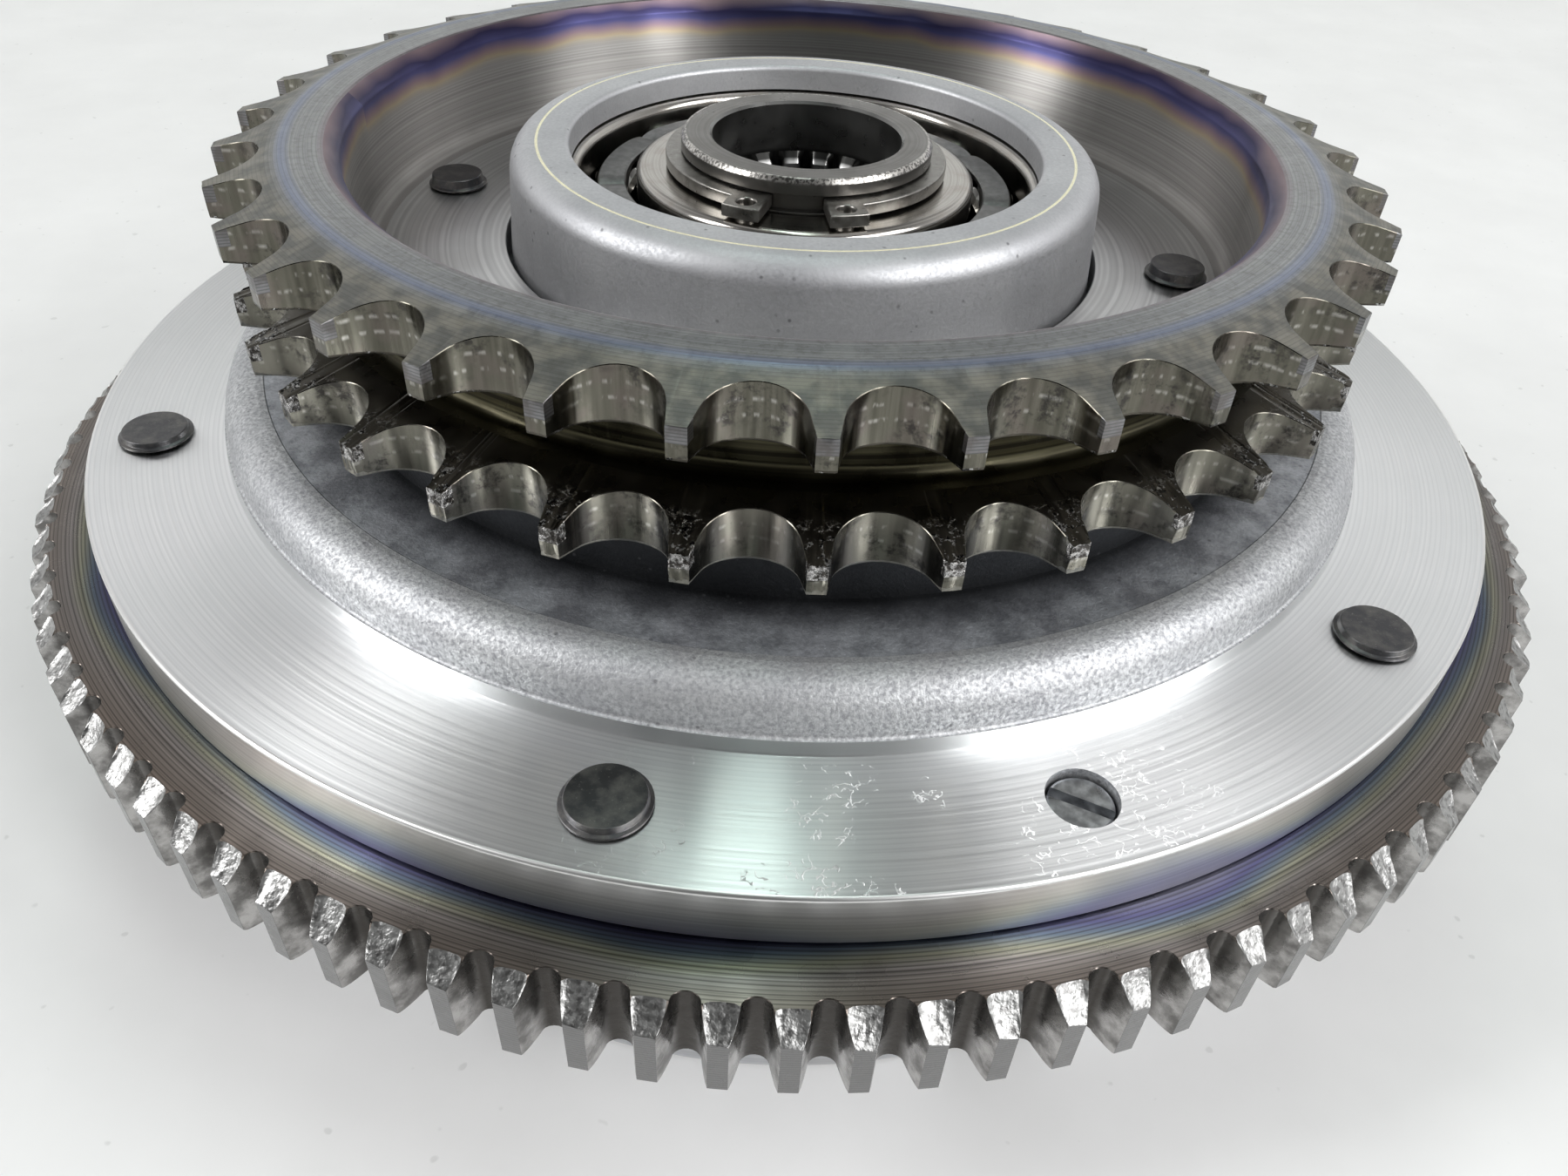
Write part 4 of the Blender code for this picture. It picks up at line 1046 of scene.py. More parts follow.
def make_rivets():
    """Flat-headed rivets: the flange's and, lower down, the sprocket's."""
    look = black_oxide()
    for name, head, thickness in (("flange_rivet", 4.7, 1.0), ("sprocket_rivet", 4.2, 1.5)):
        for i in range(1, RIVETS + 1):
            node = f"{name}_{i}"
            x, y, _ = middle(node)
            top, bottom = high(node), low(node)
            seat = top - thickness
            tail = bottom + 1.6
            corners = [
                (CAP_RADIUS, top),
                (head - 0.6, top, 0.15),
                (head - 0.45, seat + 0.35, 0.1),
                (head, seat + 0.2, 0.1),
                (head, seat),
                (RIVET_SHANK_RADIUS, seat),
                (RIVET_SHANK_RADIUS, tail),
                (head - 0.7, tail, 0.3),
                (head - 1.0, bottom, 0.5),
                (CAP_RADIUS, bottom),
            ]
            rivet = turned(node + "_skin", corners, [look], 40, closed=False, centre=(x, y))
            give(rivet, "shell", "rivet_steel", node)


def make_balance_screw():
    """A slotted plug sunk a little in the flange."""
    x, y, _ = middle("balance_screw")
    top, bottom = high("balance_screw"), low("balance_screw")
    corners = [
        (CAP_RADIUS, top),
        (SCREW_RADIUS, top, 0.35),
        (SCREW_RADIUS, bottom, 0.3),
        (CAP_RADIUS, bottom),
    ]
    screw = turned("balance_screw_skin", corners, [plated_screw()], 48, closed=False, centre=(x, y))
    slot = box_cutter("screw_slot", [(0.0, -24.0, top)], (10.0, 1.2, 2.6))
    slot.data.transform(Matrix.Translation((x * MM, y * MM, 0.0)))
    cut(screw, slot)
    give(screw, "shell", "screw_steel", "balance_screw")


# ---- sprocket and ring gear ------------------------------------------------------


def spun(points, degrees):
    """Points turned about the axis."""
    turn = math.radians(degrees)
    return points @ np.array(((math.cos(turn), math.sin(turn)), (-math.sin(turn), math.cos(turn))))


def repeated(outline, count, phase):
    """A closed outline from one pitch's points, turned round the axis."""
    return np.concatenate([spun(outline, phase + 360.0 * i / count) for i in range(count)])


def inset(outline, distance):
    """An outline moved towards the axis side by a distance, square to itself."""
    ahead = np.roll(outline, -1, axis=0) - outline
    behind = outline - np.roll(outline, 1, axis=0)
    ahead /= np.linalg.norm(ahead, axis=1, keepdims=True)
    behind /= np.linalg.norm(behind, axis=1, keepdims=True)
    along = ahead + behind
    along /= np.linalg.norm(along, axis=1, keepdims=True)
    square = np.stack([-along[:, 1], along[:, 0]], axis=1)
    return outline + square * distance


def sprocket_outline():
    """The outline of a row of teeth. One pitch runs from the middle of a tip, through a gap, to the next."""
    centre = SPROCKET_ROOT_RADIUS + TOOTH_GAP_RADIUS
    mouth = np.array((SPROCKET_TIP_RADIUS, TOOTH_GAP_HALF_WIDTH))
    reach = mouth - (centre, 0.0)
    tangent = math.acos(TOOTH_GAP_RADIUS / np.hypot(*reach))
    start = math.degrees(math.atan2(reach[1], reach[0]) + tangent)
    seat = arc(TOOTH_GAP_RADIUS, 360.0 - start, start, 17) + (centre, 0.0)
    corner = math.degrees(math.atan2(mouth[1], SPROCKET_TIP_RADIUS))
    half_pitch = 180.0 / SPROCKET_TEETH
    tip = arc(SPROCKET_TIP_RADIUS, -half_pitch, -corner, 5)
    flank = np.linspace(tip[-1], seat[0], 5)[1:-1]
    mirrored = flank[::-1] * (1.0, -1.0)
    other_tip = (tip[::-1] * (1.0, -1.0))[:-1]
    pitch = np.concatenate([tip, flank, seat, mirrored, other_tip])
    return repeated(pitch, SPROCKET_TEETH, SPROCKET_PHASE + half_pitch)


def tooth_row(top, outline, wear, looks):
    """The loops of one row of teeth, from its upper face down, with the looks of its bands.

    The looks are those of the upper face, its chamfer, the flanks and the lower face."""
    face, chamfer, flank, under = looks
    radii, angles = polar(outline)
    bottom = top - SPROCKET_ROW_WIDTH

    def upper(radius):
        share = (radius - TOOTH_FACE_RADIUS) / (SPROCKET_TIP_RADIUS - TOOTH_FACE_RADIUS)
        return top - UPPER_FALL * share

    def lower(radius):
        share = (radius - TOOTH_UNDER_RADIUS) / (SPROCKET_TIP_RADIUS - TOOTH_UNDER_RADIUS)
        return bottom + LOWER_RISE * share

    inner = inset(outline, 0.06)
    inner_radii, _ = polar(inner)
    near_tip = radii > SPROCKET_TIP_RADIUS - 1.2
    damage = np.abs(RANDOM.normal(0.0, wear, len(outline))) * near_tip
    worn = outline * (1.0 - damage / radii)[:, None]
    loops = [
        loop(TOOTH_FACE_RADIUS, top, angles),
        np.column_stack([inner, upper(inner_radii) - damage]),
        np.column_stack([worn, upper(radii) - 0.07 - 2.5 * damage]),
        np.column_stack([outline, (upper(radii) + lower(radii)) / 2]),
        np.column_stack([worn, lower(radii) + 0.25 + damage]),
        np.column_stack([inner, lower(inner_radii)]),
        loop(TOOTH_UNDER_RADIUS, bottom, angles),
    ]
    upper_edge = np.where(near_tip, chamfer, flank)
    return loops, [face, upper_edge, upper_edge, flank, under, under, under]


def make_sprocket():
    face, flank, tip, bore, web, groove, battered = range(7)
    outline = sprocket_outline()
    _, angles = polar(outline)
    lower_top = SPROCKET_TOP - SPROCKET_ROW_SPACING

    # The upper row's lower face and the lower row's upper face, inside the chain's gap, take the near-black
    # groove look: painted shade of the rows on each other.
    upper_loops, upper_looks = tooth_row(SPROCKET_TOP, outline, 0.02, (face, tip, flank, groove))
    lower_loops, lower_looks = tooth_row(lower_top, outline, 0.14, (groove, battered, flank, face))
    upper_bottom = SPROCKET_TOP - SPROCKET_ROW_WIDTH
    groove_corners = [
        (67.0, upper_bottom, 0.0, groove),
        (CHAIN_GROOVE_RADIUS, upper_bottom, 1.6, groove),
        (CHAIN_GROOVE_RADIUS, lower_top, 1.6, groove),
        (66.0, lower_top, 0.0, groove),
    ]
    rest_corners = [
        (66.0, lower_top - SPROCKET_ROW_WIDTH, 0.0, face),
        (64.0, SPROCKET_BOTTOM, 0.4, web),
        (BOSS_FOOT_RADIUS + 0.3, SPROCKET_BOTTOM, 0.2, web),
        (BOSS_FOOT_RADIUS + 0.3, SPROCKET_WEB_TOP, 0.2, web),
        (SPROCKET_BORE_RADIUS, SPROCKET_WEB_TOP, 2.6, bore),
        (SPROCKET_BORE_RADIUS, SPROCKET_TOP - 1.8, 0.5, bore),
        (SPROCKET_BORE_RADIUS + 1.8, SPROCKET_TOP, 0.5, face),
        (SPROCKET_BORE_RADIUS + 3.0, SPROCKET_TOP, 0.0, face),
    ]
    groove_loops, groove_looks = stacked(groove_corners, angles)
    rest_loops, rest_looks = stacked(rest_corners, angles)
    loops = upper_loops + groove_loops + lower_loops + rest_loops
    band_looks = upper_looks + groove_looks + lower_looks + rest_looks
    looks = [sprocket_face(), tooth_flank(), tooth_tip(), sprocket_bore(), sprocket_web(), chain_groove()]
    sprocket = skin("chain_sprocket_skin", loops, band_looks, looks + [battered_tip()])
    return give(sprocket, "shell", "sprocket_steel", "chain_sprocket")


def ring_outline():
    """The outline of the ring gear: full flanks, a narrow tip and a round root."""
    half_pitch = 180.0 / RING_TEETH
    half_tip, half_foot, foot_height = 0.52, 0.96, 1.2
    tip = arc(RING_TIP_RADIUS, -half_tip, half_tip, 4)
    depths = np.linspace(0.0, 1.0, 5)[1:-1]
    radii = RING_TIP_RADIUS + (RING_ROOT_RADIUS + foot_height - RING_TIP_RADIUS) * depths
    spread = np.radians(half_tip + (half_foot - half_tip) * depths**0.8)
    flank = np.stack([radii * np.cos(spread), radii * np.sin(spread)], axis=1)
    turns = np.linspace(0.0, math.pi / 2, 6)
    root_angles = np.radians(half_pitch - (half_pitch - half_foot) * np.cos(turns))
    root_radii = RING_ROOT_RADIUS + foot_height * (1.0 - np.sin(turns))
    root = np.stack([root_radii * np.cos(root_angles), root_radii * np.sin(root_angles)], axis=1)
    after = np.concatenate([flank, root])
    before = (after * (1.0, -1.0))[::-1][1:]
    return repeated(np.concatenate([before, tip, after]), RING_TEETH, RING_PHASE)


def make_ring_gear():
    """The ring gear. The starter pinion has hammered a sloping scoop into the end of every tooth."""
    face, flank, end = 0, 1, 2
    outline = ring_outline()
    count = len(outline)
    per_tooth = count // RING_TEETH
    radii, angles = polar(outline)
    middle = np.arange(count) % per_tooth - (per_tooth - 1) / 2
    across = np.abs(middle) / (per_tooth / 2)
    reach = np.repeat(RANDOM.uniform(0.5, 1.2, RING_TEETH), per_tooth)
    start = RING_ROOT_RADIUS + reach + 1.6 * across**2
    depth = np.repeat(RANDOM.uniform(1.9, 2.9, RING_TEETH), per_tooth)
    share = np.clip((radii - start) / (RING_TIP_RADIUS - start), 0.0, 1.0)
    slant = 1.0 + 0.18 * np.sign(middle) * np.minimum(across * 3.0, 1.0)
    fall = depth * share * slant
    scooped = share > 0.02
    dents = RANDOM.normal(0.0, 0.06, count) * scooped
    rim = np.minimum(radii - 0.12, start)
    hollow = rim + (radii - rim) * 0.5
    loops = [
        loop(RING_BORE_RADIUS, RING_TOP, angles),
        loop(RING_ROOT_RADIUS - 0.9, RING_TOP, angles),
        loop(rim, RING_TOP, angles),
        loop(hollow, RING_TOP - fall * 0.62 + dents, angles),
        loop(radii - 0.1, RING_TOP - 0.02 - fall + dents, angles),
        loop(radii, RING_TOP - 0.14 - fall + dents, angles),
        loop(radii, RING_BOTTOM + 0.35, angles),
        loop(radii - 0.3, RING_BOTTOM, angles),
        loop(RING_ROOT_RADIUS - 2.0, RING_BOTTOM, angles),
        loop(RING_BORE_RADIUS, RING_BOTTOM, angles),
    ]
    scoop = np.where(scooped & np.roll(scooped, -1), end, face)
    band_looks = [face, face, scoop, scoop, scoop, flank, flank, face, face, face]
    ring = skin("starter_ring_gear_skin", loops, band_looks, [ring_face(), ring_flank(), hammered_end()])
    return give(ring, "shell", "ring_gear_steel", "starter_ring_gear")


# ---- bearing ---------------------------------------------------------------------


def race_groove(wall_radius, side):
    """Corners down a race's ball groove: side is +1 when it faces outward, -1 when it faces the axis."""
    reach = BALL_RADIUS + BALL_CLEARANCE
    half = math.degrees(math.acos(abs(wall_radius - BALL_CIRCLE) / reach))
    points = arc(reach, half, -half, 9) * (-side, 1.0) + (BALL_CIRCLE, BEARING_MIDDLE)
    return [tuple(point) for point in points]


def make_races():
    look = bearing_steel()
    inner = [
        (INNER_RACE_RADIUS, BEARING_TOP, 1.1),
        *race_groove(INNER_RACE_RADIUS, 1),
        (INNER_RACE_RADIUS, BEARING_BOTTOM, 1.1),
        (BEARING_BORE_RADIUS, BEARING_BOTTOM, 0.3),
        (BEARING_BORE_RADIUS, BEARING_TOP, 0.3),
    ]
    outer = [
        (BEARING_RADIUS, BEARING_TOP, 0.6),
        (BEARING_RADIUS, BEARING_BOTTOM, 0.8),
        (OUTER_RACE_RADIUS, BEARING_BOTTOM, 1.1),
        *reversed(race_groove(OUTER_RACE_RADIUS, -1)),
        (OUTER_RACE_RADIUS, BEARING_TOP, 1.1),
    ]
    inner_race = turned("bearing_inner_race_skin", inner, [look], 160)
    outer_race = turned("bearing_outer_race_skin", outer, [look], 192)
    give(inner_race, "hub", "bearing_steel", "bearing_inner_race")
    give(outer_race, "shell", "bearing_steel", "bearing_outer_race")


def make_balls():
    look = ball_steel()
    for i in range(1, BALLS + 1):
        node = f"bearing_ball_{i}"
        x, y, z = middle(node)
        mesh = bpy.data.meshes.new(node + "_skin")
        work = bmesh.new()
        place = Matrix.Translation((x * MM, y * MM, (z + FLANGE) * MM))
        bmesh.ops.create_icosphere(work, subdivisions=4, radius=(BALL_RADIUS - 0.02) * MM, matrix=place)
        work.to_mesh(mesh)
        work.free()
        ball = finished(node + "_skin", mesh, [look], sharp=60.0)
        give(ball, "bearing_cage_set", "bearing_steel", node)


def make_cage():
    """The ball cage: two halves, each a ring with pockets for the balls and a dip between them."""
    look = cage_steel()
    narrow, wide = 24.9, 28.7
    per_ball = 36
    half_pitch = math.pi / BALLS * BALL_CIRCLE
    steps = np.arange(BALLS * per_ball)
    angles = math.pi / 2 + steps / per_ball * 2 * math.pi / BALLS
    from_ball = steps % per_ball / per_ball
    from_ball = np.minimum(from_ball, 1.0 - from_ball) * 2 * half_pitch
    pocket = BALL_RADIUS + BALL_CLEARANCE
    near = 0.05 + np.sqrt(np.maximum(pocket**2 - from_ball**2, 0.0))
    far = BALL_RADIUS + 1.1 - 0.5 * (from_ball / half_pitch) ** 8
    for side, name in ((1.0, "bearing_cage_upper"), (-1.0, "bearing_cage_lower")):
        bottom, top = np.sort([BEARING_MIDDLE + side * near, BEARING_MIDDLE + side * far], axis=0)
        loops = [
            loop(wide, top - 0.2, angles),
            loop(wide, bottom, angles),
            loop(narrow, bottom, angles),
            loop(narrow, top - 0.2, angles),
            loop(narrow + 0.2, top, angles),
            loop(wide - 0.2, top, angles),
        ]
        half = skin(name, loops, [0] * len(loops), [look])
        give(half, "bearing_cage_set", "cage_steel", "bearing_cage")


def split_ring(node, radii, gap, look, body, phase=0.0):
    """A flat retaining ring with a gap, in the heights of its CAD node."""
    outer = arc(radii[1], phase + gap / 2, phase + 360.0 - gap / 2, 96)
    inner = arc(radii[0], phase + 360.0 - gap / 2, phase + gap / 2, 96)
    ring = slab(node + "_skin", [np.concatenate([outer, inner])], low(node), high(node), [look], 0.18)
    give(ring, body, "spring_steel", node)


# ---- hub -------------------------------------------------------------------------


def spline_outline():
    """The bore's outline: broad splines with narrow, flat-bottomed gaps."""
    pitch = 360.0 / HUB_SPLINES
    tooth = arc(HUB_SPLINE_RADIUS, -pitch * 0.20, pitch * 0.20, 4)
    gap = arc(HUB_BORE_RADIUS - 0.12, pitch * 0.42, pitch * 0.58, 4)
    rise = np.linspace(tooth[-1], gap[0], 4)[1:-1]
    fall = np.linspace(gap[-1], spun(tooth[0], pitch), 4)[1:-1]
    return repeated(np.concatenate([tooth, rise, gap, fall]), HUB_SPLINES, 0.0)


def make_hub_sleeve():
    """The splined sleeve with its circlip groove."""
    outside, inside = 0, 1
    outline = spline_outline()
    _, angles = polar(outline)
    foot = BEARING_BOTTOM - 0.3
    shoulder_radius, shoulder_bottom, tail_radius = 21.5, 4.8, 20.2
    corners = [
        (HUB_BORE_RADIUS + 0.35, HUB_TOP, 0.0, outside),
        (HUB_RADIUS - 0.45, HUB_TOP, 0.15, outside),
        (HUB_RADIUS, HUB_TOP - 0.6, 0.15, outside),
        (HUB_RADIUS, CIRCLIP_GROOVE_TOP, 0.1, outside),
        (HUB_RADIUS - CIRCLIP_GROOVE_DEPTH, CIRCLIP_GROOVE_TOP, 0.0, outside),
        (HUB_RADIUS - CIRCLIP_GROOVE_DEPTH, CIRCLIP_GROOVE_BOTTOM, 0.0, outside),
        (HUB_RADIUS, CIRCLIP_GROOVE_BOTTOM, 0.1, outside),
        (HUB_RADIUS, foot, 0.0, outside),
        (shoulder_radius, foot, 0.4, outside),
        (shoulder_radius, shoulder_bottom, 0.0, outside),
        (tail_radius, shoulder_bottom, 0.0, outside),
        (tail_radius, HUB_BOTTOM, 0.5, outside),
        (HUB_BORE_RADIUS, HUB_BOTTOM, 0.3, inside),
    ]
    loops, band_looks = stacked(corners, angles)
    for depth in (HUB_BOTTOM + 1.0, HUB_SPLINE_TOP - 1.4):
        loops.append(np.column_stack([outline, np.full(len(outline), depth)]))
        band_looks.append(inside)
    for radius, height in ((HUB_BORE_RADIUS, HUB_SPLINE_TOP), (HUB_BORE_RADIUS, HUB_TOP - 0.35)):
        loops.append(loop(radius, height, angles))
        band_looks.append(inside)
    sleeve = skin("hub_sleeve_skin", loops, band_looks, [hub_steel(), hub_bore()])
    give(sleeve, "hub", "hub_steel", "hub_sleeve")


def make_circlip():
    """External circlip: a ring open at the front, with an eyed lug at each end."""
    middle_angle, spread, lug = -92.6, 18.0, 6.5
    lug_radius, ring_radius, seat_radius = 22.4, 19.3, HUB_RADIUS - 0.6
    eye_circle, eye_radius = 20.4, 1.2
    start = middle_angle + spread
    end = middle_angle + 360.0 - spread
    outline = np.concatenate(
        [
            arc(lug_radius, start - lug, start + lug, 8),
            arc(ring_radius, start + lug + 1.5, end - lug - 1.5, 100),
            arc(lug_radius, end - lug, end + lug, 8),
            arc(seat_radius, end + lug, end + lug, 1),
            arc(seat_radius, end + lug, start - lug, 120),
        ]
    )
    eyes = [circle(eye_radius, 24) + arc(eye_circle, degrees, degrees, 1) for degrees in (start, end)]
    bottom, top = low("hub_circlip"), high("hub_circlip")
    clip = slab("hub_circlip_skin", [outline, *eyes], bottom, top, [spring_steel()], 0.22)
    give(clip, "hub", "spring_steel", "hub_circlip")


def make_hub_drum():
    """The disc and slotted drum that carry the steel plates."""
    disc_top, disc_bottom, reaction = 4.5, -0.5, -8.5
    disc_radius, step_height = 77.0, -3.5
    drum_bottom, groove_bottom = low("hub_drum"), -50.3
    corners = [
        (54.0, disc_top, 1.5),
        (60.0, step_height, 1.5),
        (disc_radius, step_height, 0.6),
        (disc_radius, reaction, 0.3),
        (DRUM_RADIUS, reaction, 0.5),
        (DRUM_RADIUS, drum_bottom, 0.7),
        (DRUM_INNER_RADIUS, drum_bottom, 0.4),
        (DRUM_INNER_RADIUS, groove_bottom),
        (DRUM_INNER_RADIUS + 1.6, groove_bottom),
        (DRUM_INNER_RADIUS + 1.6, groove_bottom + 2.0),
        (DRUM_INNER_RADIUS, groove_bottom + 2.0),
        (DRUM_INNER_RADIUS, disc_bottom, 2.5),
        (20.5, disc_bottom),
        (20.5, disc_top),
    ]
    drum = turned("hub_drum_skin", corners, [release_steel()], 192)
    step = 360.0 / DRUM_SLOTS
    groove_height = reaction - drum_bottom + 4.0
    grooves = [(56.2, step * i, reaction - groove_height / 2) for i in range(DRUM_SLOTS)]
    window_top = high("pressure_plate") + 1.5
    window_height = window_top - drum_bottom + 4.0
    windows = [(53.2, step * i, window_top - window_height / 2) for i in range(DRUM_SLOTS)]
    groove_cutter = box_cutter("drum_grooves", grooves, (6.0, 9.0, groove_height))
    cut(drum, groove_cutter, box_cutter("drum_windows", windows, (12.0, 9.4, window_height)))
    give(drum, "hub", "hub_steel", "hub_drum")


# ---- plate pack and release parts ------------------------------------------------


def eared(radius, ear_radius, count, width, phase):
    """A circle with square ears."""
    half = math.degrees(width / 2 / ear_radius)
    step = 360.0 / count
    made = []
    for i in range(count):
        centre = phase + step * i
        made.append(arc(ear_radius, centre - half, centre + half, 5))
        made.append(arc(radius, centre + half, centre + step - half, 16))
    return np.concatenate(made)


def make_friction_plates():
    """Each friction plate: a steel core with ears, and a lining on both sides."""
    core_look, lining_look = plate_steel(), friction_lining()
    core_outlines = [
        eared(LINING_RADIUS + 0.2, WALL_RADIUS - 0.9, WALL_SLOTS, SLOT_WIDTH - 0.6, 180.0 / WALL_SLOTS),
        circle(LINING_BORE_RADIUS + 0.5),
    ]
    lining_outlines = [circle(LINING_RADIUS), circle(LINING_BORE_RADIUS)]
    for i in range(1, 8):
        node = f"friction_plate_{i}"
        bottom, top = low(node), high(node)
        core = slab(node + "_core", core_outlines, bottom + 0.55, top - 0.55, [core_look], 0.1)
        give(core, node + "_float", "plate_steel", node)
        for side, level in (("upper", top), ("lower", bottom + LINING_THICKNESS)):
            name = f"{node}_{side}_lining"
            lining = slab(name, lining_outlines, level - LINING_THICKNESS, level, [lining_look], 0.1)
            give(lining, node + "_float", "friction_lining", node)


def make_steel_plates():
    look = plate_steel()
    outlines = [circle(STEEL_PLATE_RADIUS), eared(57.0, 53.5, DRUM_SLOTS, 8.4, 0.0)]
    for i in range(1, 7):
        node = f"steel_plate_{i}"
        plate = slab(node + "_skin", outlines, low(node), high(node), [look], 0.15)
        give(plate, node + "_float", "plate_steel", node)


def make_pressure_plate():
    """The pressure plate, with windows for the drum's fingers."""
    half = math.degrees(4.2 / DRUM_RADIUS)
    step = 360.0 / DRUM_SLOTS
    outer = arc(DRUM_RADIUS + 0.8, half, step - half, 12)
    inner = arc(DRUM_INNER_RADIUS - 0.8, step - half, half, 12)
    window = np.concatenate([outer, inner])
    windows = [spun(window, step * i) for i in range(DRUM_SLOTS)]
    rims = [circle(STEEL_PLATE_RADIUS, 180), circle(22.0, 72)]
    bottom, top = low("pressure_plate"), high("pressure_plate")
    plate = slab("pressure_plate_skin", [*rims, *windows], bottom, top, [pressure_aluminium()], 0.5)
    give(plate, "pressure_set", "pressure_aluminium", "pressure_plate")


def make_diaphragm_spring():
    """A coned ring with radial slots that end in round holes."""
    outer_radius, inner_radius, slot_end = 48.6, 29.0, 41.0
    top, bottom = high("diaphragm_spring"), low("diaphragm_spring")
    fingers = 12
    pitch = 360.0 / fingers
    half_slot, eye_radius, thick = 1.2, 2.0, 1.8
    half = math.degrees(half_slot / inner_radius)
    sweep = math.degrees(2.5)
    eye = arc(eye_radius, -sweep, sweep, 12) + (slot_end, 0.0)
    edge = arc(inner_radius, half, pitch - half, 8)[1:-1]
    mouth = np.array((inner_radius, half_slot))
    finger = np.concatenate([[mouth * (1.0, -1.0)], eye, [mouth], edge])
    outlines = [circle(outer_radius, 144), repeated(finger, fingers, pitch / 2)]
    spring = slab("diaphragm_spring_skin", outlines, top - thick, top, [spring_steel()], 0.25)
    fall = (top - bottom - thick) / (outer_radius - inner_radius)
    for vertex in spring.data.vertices:
        radius = math.hypot(vertex.co.x, vertex.co.y) / MM
        vertex.co.z -= (outer_radius - radius) * fall * MM
    give(spring, "hub", "spring_steel", "diaphragm_spring")
    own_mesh(spring)


def make_release_plate(look):
    """The plate that carries the adjuster, held in the pressure plate by a snap ring."""
    top, bottom = high("release_plate"), low("release_plate")
    pressure_top, pressure_bottom = high("pressure_plate"), low("pressure_plate")
    hole = ADJUSTER_HOLE_RADIUS
    groove_top, groove_bottom = pressure_bottom - 0.3, pressure_bottom - 2.4
    corners = [
        (24.6, top, 0.6),
        (24.6, pressure_top + 0.3, 0.3),
        (RELEASE_NECK_RADIUS, pressure_top + 0.3),
        (RELEASE_NECK_RADIUS, groove_top),
        (RELEASE_NECK_RADIUS - 1.2, groove_top),
        (RELEASE_NECK_RADIUS - 1.2, groove_bottom),
        (RELEASE_NECK_RADIUS, groove_bottom),
        (RELEASE_NECK_RADIUS, bottom, 0.7),
        (hole + 5.5, bottom, 0.4),
        (hole + 4.0, bottom + 0.5, 0.4),
        (hole, bottom + 0.5, 0.3),
        (hole, top, 0.4),
    ]
    plate = turned("release_plate_skin", corners, [look], 128)
    give(plate, "pressure_set", "release_steel", "release_plate")


def make_lock_nut(look):
    outlines = [circle(NUT_ACROSS_FLATS / 2 / math.cos(math.pi / 6), 6), circle(ADJUSTER_HOLE_RADIUS, 36)]
    bottom, top = low("adjuster_lock_nut"), high("adjuster_lock_nut")
    nut = slab("adjuster_lock_nut_skin", outlines, bottom, top, [look], 0.4)
    give(nut, "lock_nut", "release_steel", "adjuster_lock_nut")


def make_adjuster_screw(look):
    """A threaded screw, with a slot for a driver in its outer end."""
    top, bottom = high("adjuster_screw"), low("adjuster_screw")
    corners = [(CAP_RADIUS, top), (ADJUSTER_RADIUS - 1.0, top), (ADJUSTER_RADIUS, top - 1.0)]
    level = top - 1.6
    while level > bottom + 1.4:
        corners += [(ADJUSTER_RADIUS, level), (THREAD_ROOT_RADIUS, level - THREAD_PITCH / 2)]
        level -= THREAD_PITCH
    corners += [(ADJUSTER_RADIUS, bottom + 0.8), (ADJUSTER_RADIUS - 0.8, bottom), (CAP_RADIUS, bottom)]
    screw = turned("adjuster_screw_skin", corners, [look], 48, closed=False)
    cut(screw, box_cutter("driver_slot", [(0.0, 0.0, bottom)], (10.0, 1.4, 3.0)))
    give(screw, "adjuster", "release_steel", "adjuster_screw")


# ---- stage, camera and light -----------------------------------------------------


def stage_material(name, colour):
    look = Look(name, metallic=0.0)
    scuffs = look.span(look.noise(0.02, detail=4.0, roughness=0.6), 0.3, 0.7)
    specks = look.span(look.noise(0.35, detail=1.0), 0.74, 0.78, 0.0, 0.35)
    darker = tuple(0.93 * share for share in colour)
    look.colour(look.mix(specks, look.mix(scuffs, darker, colour), (0.45, 0.45, 0.44)))
    look.rough(look.span(scuffs, 0.0, 1.0, 0.5, 0.62))
    return look.material


def stage_plane(name, corners, look):
    """A flat piece of the stage, cut into a grid."""
    mesh = bpy.data.meshes.new(name)
    work = bmesh.new()
    face = work.faces.new([work.verts.new([side * MM for side in corner]) for corner in corners])
    bmesh.ops.subdivide_edges(work, edges=face.edges[:], cuts=4, use_grid_fill=True)
    work.to_mesh(mesh)
    work.free()
    mesh.materials.append(look)
    placed(name, mesh)


def make_stage():
    """A pale table top and, behind it, a pale wall."""
    table = stage_material("pale_table", (0.83, 0.83, 0.825))
    wall = stage_material("pale_wall", (0.81, 0.81, 0.805))
    far, level = STAGE_REACH, TABLE_LEVEL
    around = [(-far, -far, level), (far, -far, level), (far, far, level), (-far, far, level)]
    stage_plane("table_top", around, table)
    left, right = (-far, 620.0), (far, 520.0)
    upright = [(*left, level), (*right, level), (*right, WALL_HEIGHT), (*left, WALL_HEIGHT)]
    stage_plane("back_wall", upright, wall)


def make_camera():
    """A wide lens, close above the near side."""
    pitch, yaw, roll = map(math.radians, (CAMERA_PITCH, CAMERA_YAW, CAMERA_ROLL))
    forward = Vector((math.sin(yaw) * math.cos(pitch), math.cos(yaw) * math.cos(pitch), -math.sin(pitch)))
    right = forward.cross(Vector((0.0, 0.0, 1.0))).normalized()
    up = right.cross(forward)
    turned_right = right * math.cos(roll) + up * math.sin(roll)
    turned_up = up * math.cos(roll) - right * math.sin(roll)
    data = bpy.data.cameras.new("camera")
    data.lens = CAMERA_LENS
    data.sensor_width = SENSOR_WIDTH
    data.clip_start = 0.005
    camera = placed("camera", data)
    x, y, z = CAMERA_PLACE
    place = Vector((x, y, z + FLANGE)) * MM
    rotation = Matrix((turned_right, turned_up, -forward)).transposed().to_4x4()
    camera.matrix_world = Matrix.Translation(place) @ rotation
    bpy.context.scene.camera = camera


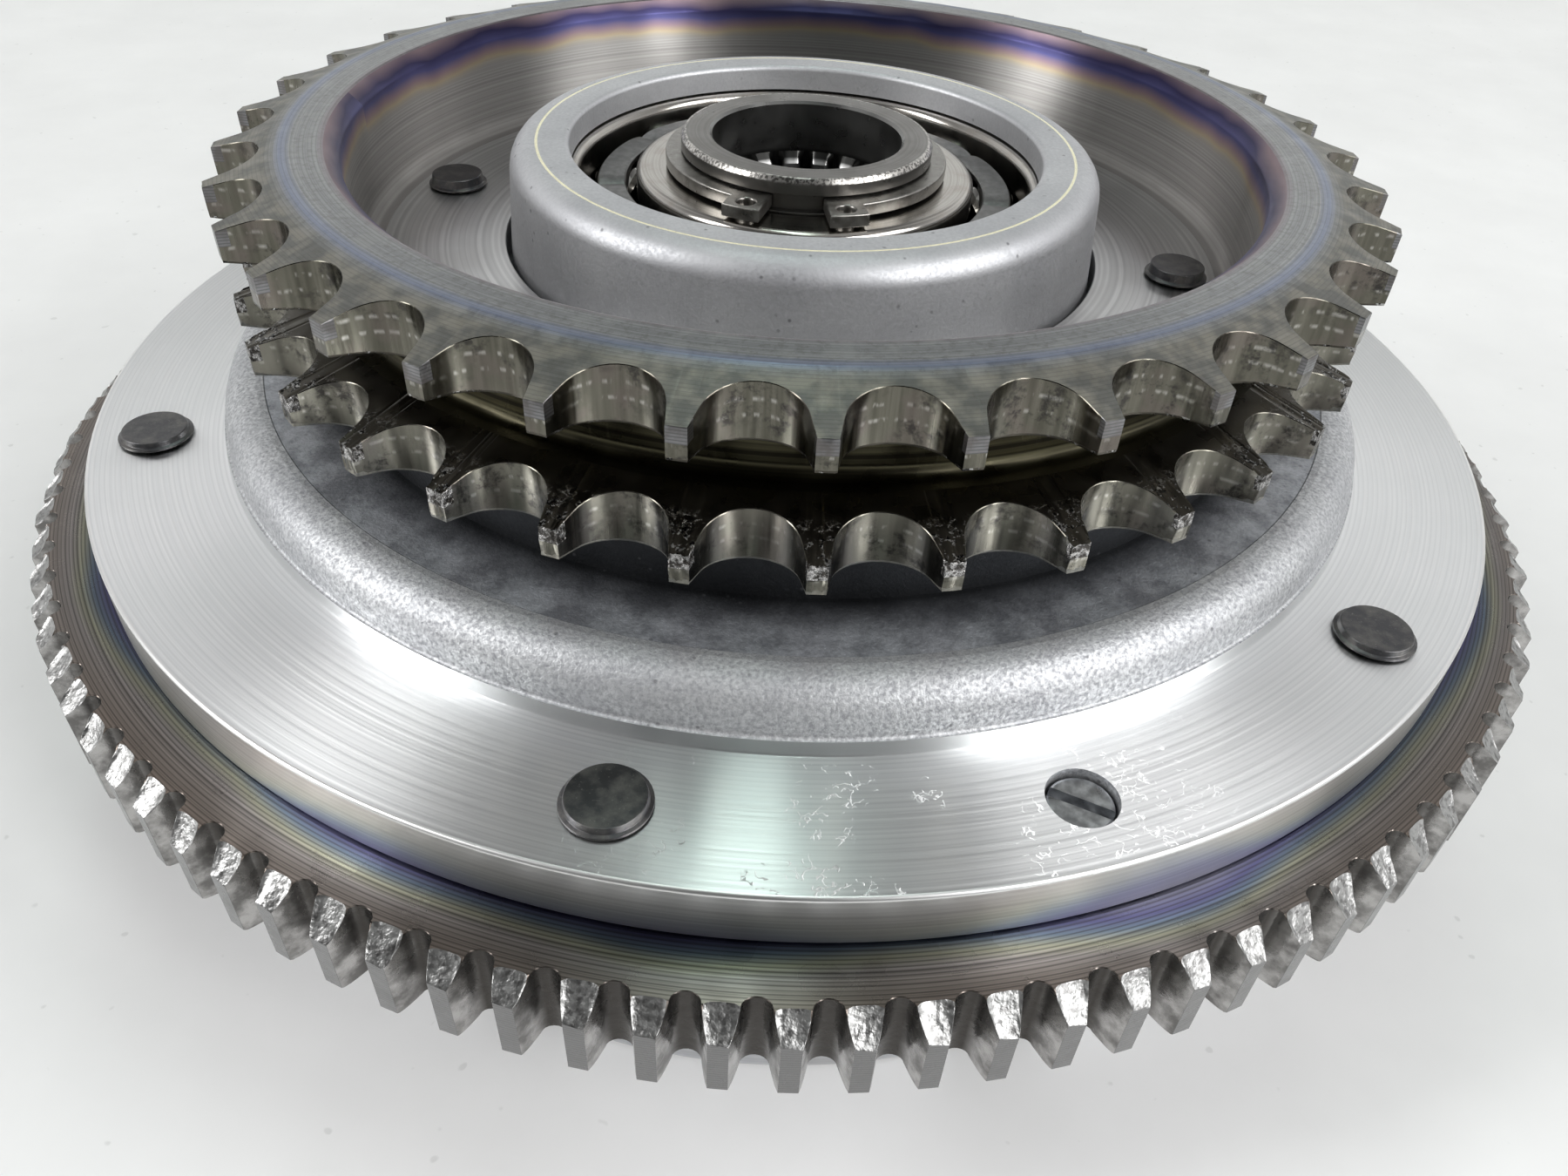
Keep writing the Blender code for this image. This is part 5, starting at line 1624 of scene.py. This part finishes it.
def soft_light(name, place, size, power, colour=(1.0, 1.0, 1.0)):
    """A rectangular area light at a place in metres, turned to the middle of the part."""
    data = bpy.data.lights.new(name, "AREA")
    data.shape = "RECTANGLE"
    data.size, data.size_y = size
    data.energy = power
    data.color = colour
    light = placed(name, data)
    light.location = place
    light.rotation_euler = (LAMP_AIM - Vector(place)).to_track_quat("-Z", "Y").to_euler()


def grey_levels(nodes, value, stops):
    """Grey levels along one part of a direction, from -1 to 1."""
    greys = [((position + 1.0) / 2, (level, level, level)) for position, level in stops]
    return nodes.ramp(nodes.span(value, -1.0, 1.0), greys)


def make_room():
    """A pale room: bright behind the part, dim in front of it, right above it and in its middle."""
    world = bpy.data.worlds.new("room")
    world.use_nodes = True
    nodes = Nodes(world.node_tree)
    way = nodes.node("ShaderNodeTexCoord").outputs["Generated"]
    x, y, z = nodes.node_of("ShaderNodeSeparateXYZ", way).outputs
    sideways = grey_levels(nodes, x, ((-0.42, 1.0), (-0.15, 0.3), (0.15, 0.3), (0.42, 1.0)))
    along = grey_levels(nodes, y, ((-0.6, 0.14), (0.0, 0.42), (0.5, 0.86)))
    upward = grey_levels(nodes, z, ((0.0, 1.0), (0.5, 0.95), (0.75, 0.5), (1.0, 0.35)))
    background = nodes.tree.nodes["Background"]
    background.inputs["Strength"].default_value = 1.08
    nodes.link(nodes.times(nodes.times(along, upward), sideways), background.inputs["Color"])
    bpy.context.scene.world = world


def make_lamps():
    """Soft lamps on both sides, a narrow one behind and a broad one overhead."""
    soft_light("lamp_right", (0.79, -0.76, 0.7), (0.2, 1.0), 8.0)
    soft_light("lamp_side", (1.0, -0.32, 0.8), (0.45, 0.8), 7.0)
    soft_light("lamp_left", (-1.05, -0.35, 0.7), (0.26, 1.0), 10.5)
    soft_light("lamp_back", (-0.03, 0.3, 1.4), (0.13, 0.9), 1.9, (0.80, 1.0, 0.92))
    soft_light("lamp_over", (0.1, 0.1, 1.6), (1.4, 1.0), 1.8)


def main():
    make_camera()
    make_room()
    make_lamps()
    make_stage()
    make_shell()
    make_rivets()
    make_balance_screw()
    make_sprocket()
    make_ring_gear()
    make_races()
    make_balls()
    make_cage()
    spring = spring_steel()
    split_ring("bearing_snap_ring", (33.0, 37.9), 24.0, spring, "shell", 90.0)
    split_ring("spring_snap_ring", (46.5, 51.8), 14.0, spring, "hub")
    split_ring("release_snap_ring", (20.7, 24.4), 20.0, spring, "pressure_set")
    make_hub_sleeve()
    make_circlip()
    make_hub_drum()
    make_friction_plates()
    make_steel_plates()
    make_pressure_plate()
    make_diaphragm_spring()
    release = release_steel()
    make_release_plate(release)
    make_lock_nut(release)
    make_adjuster_screw(release)
    bpy.context.scene.view_settings.view_transform = "Standard"


main()
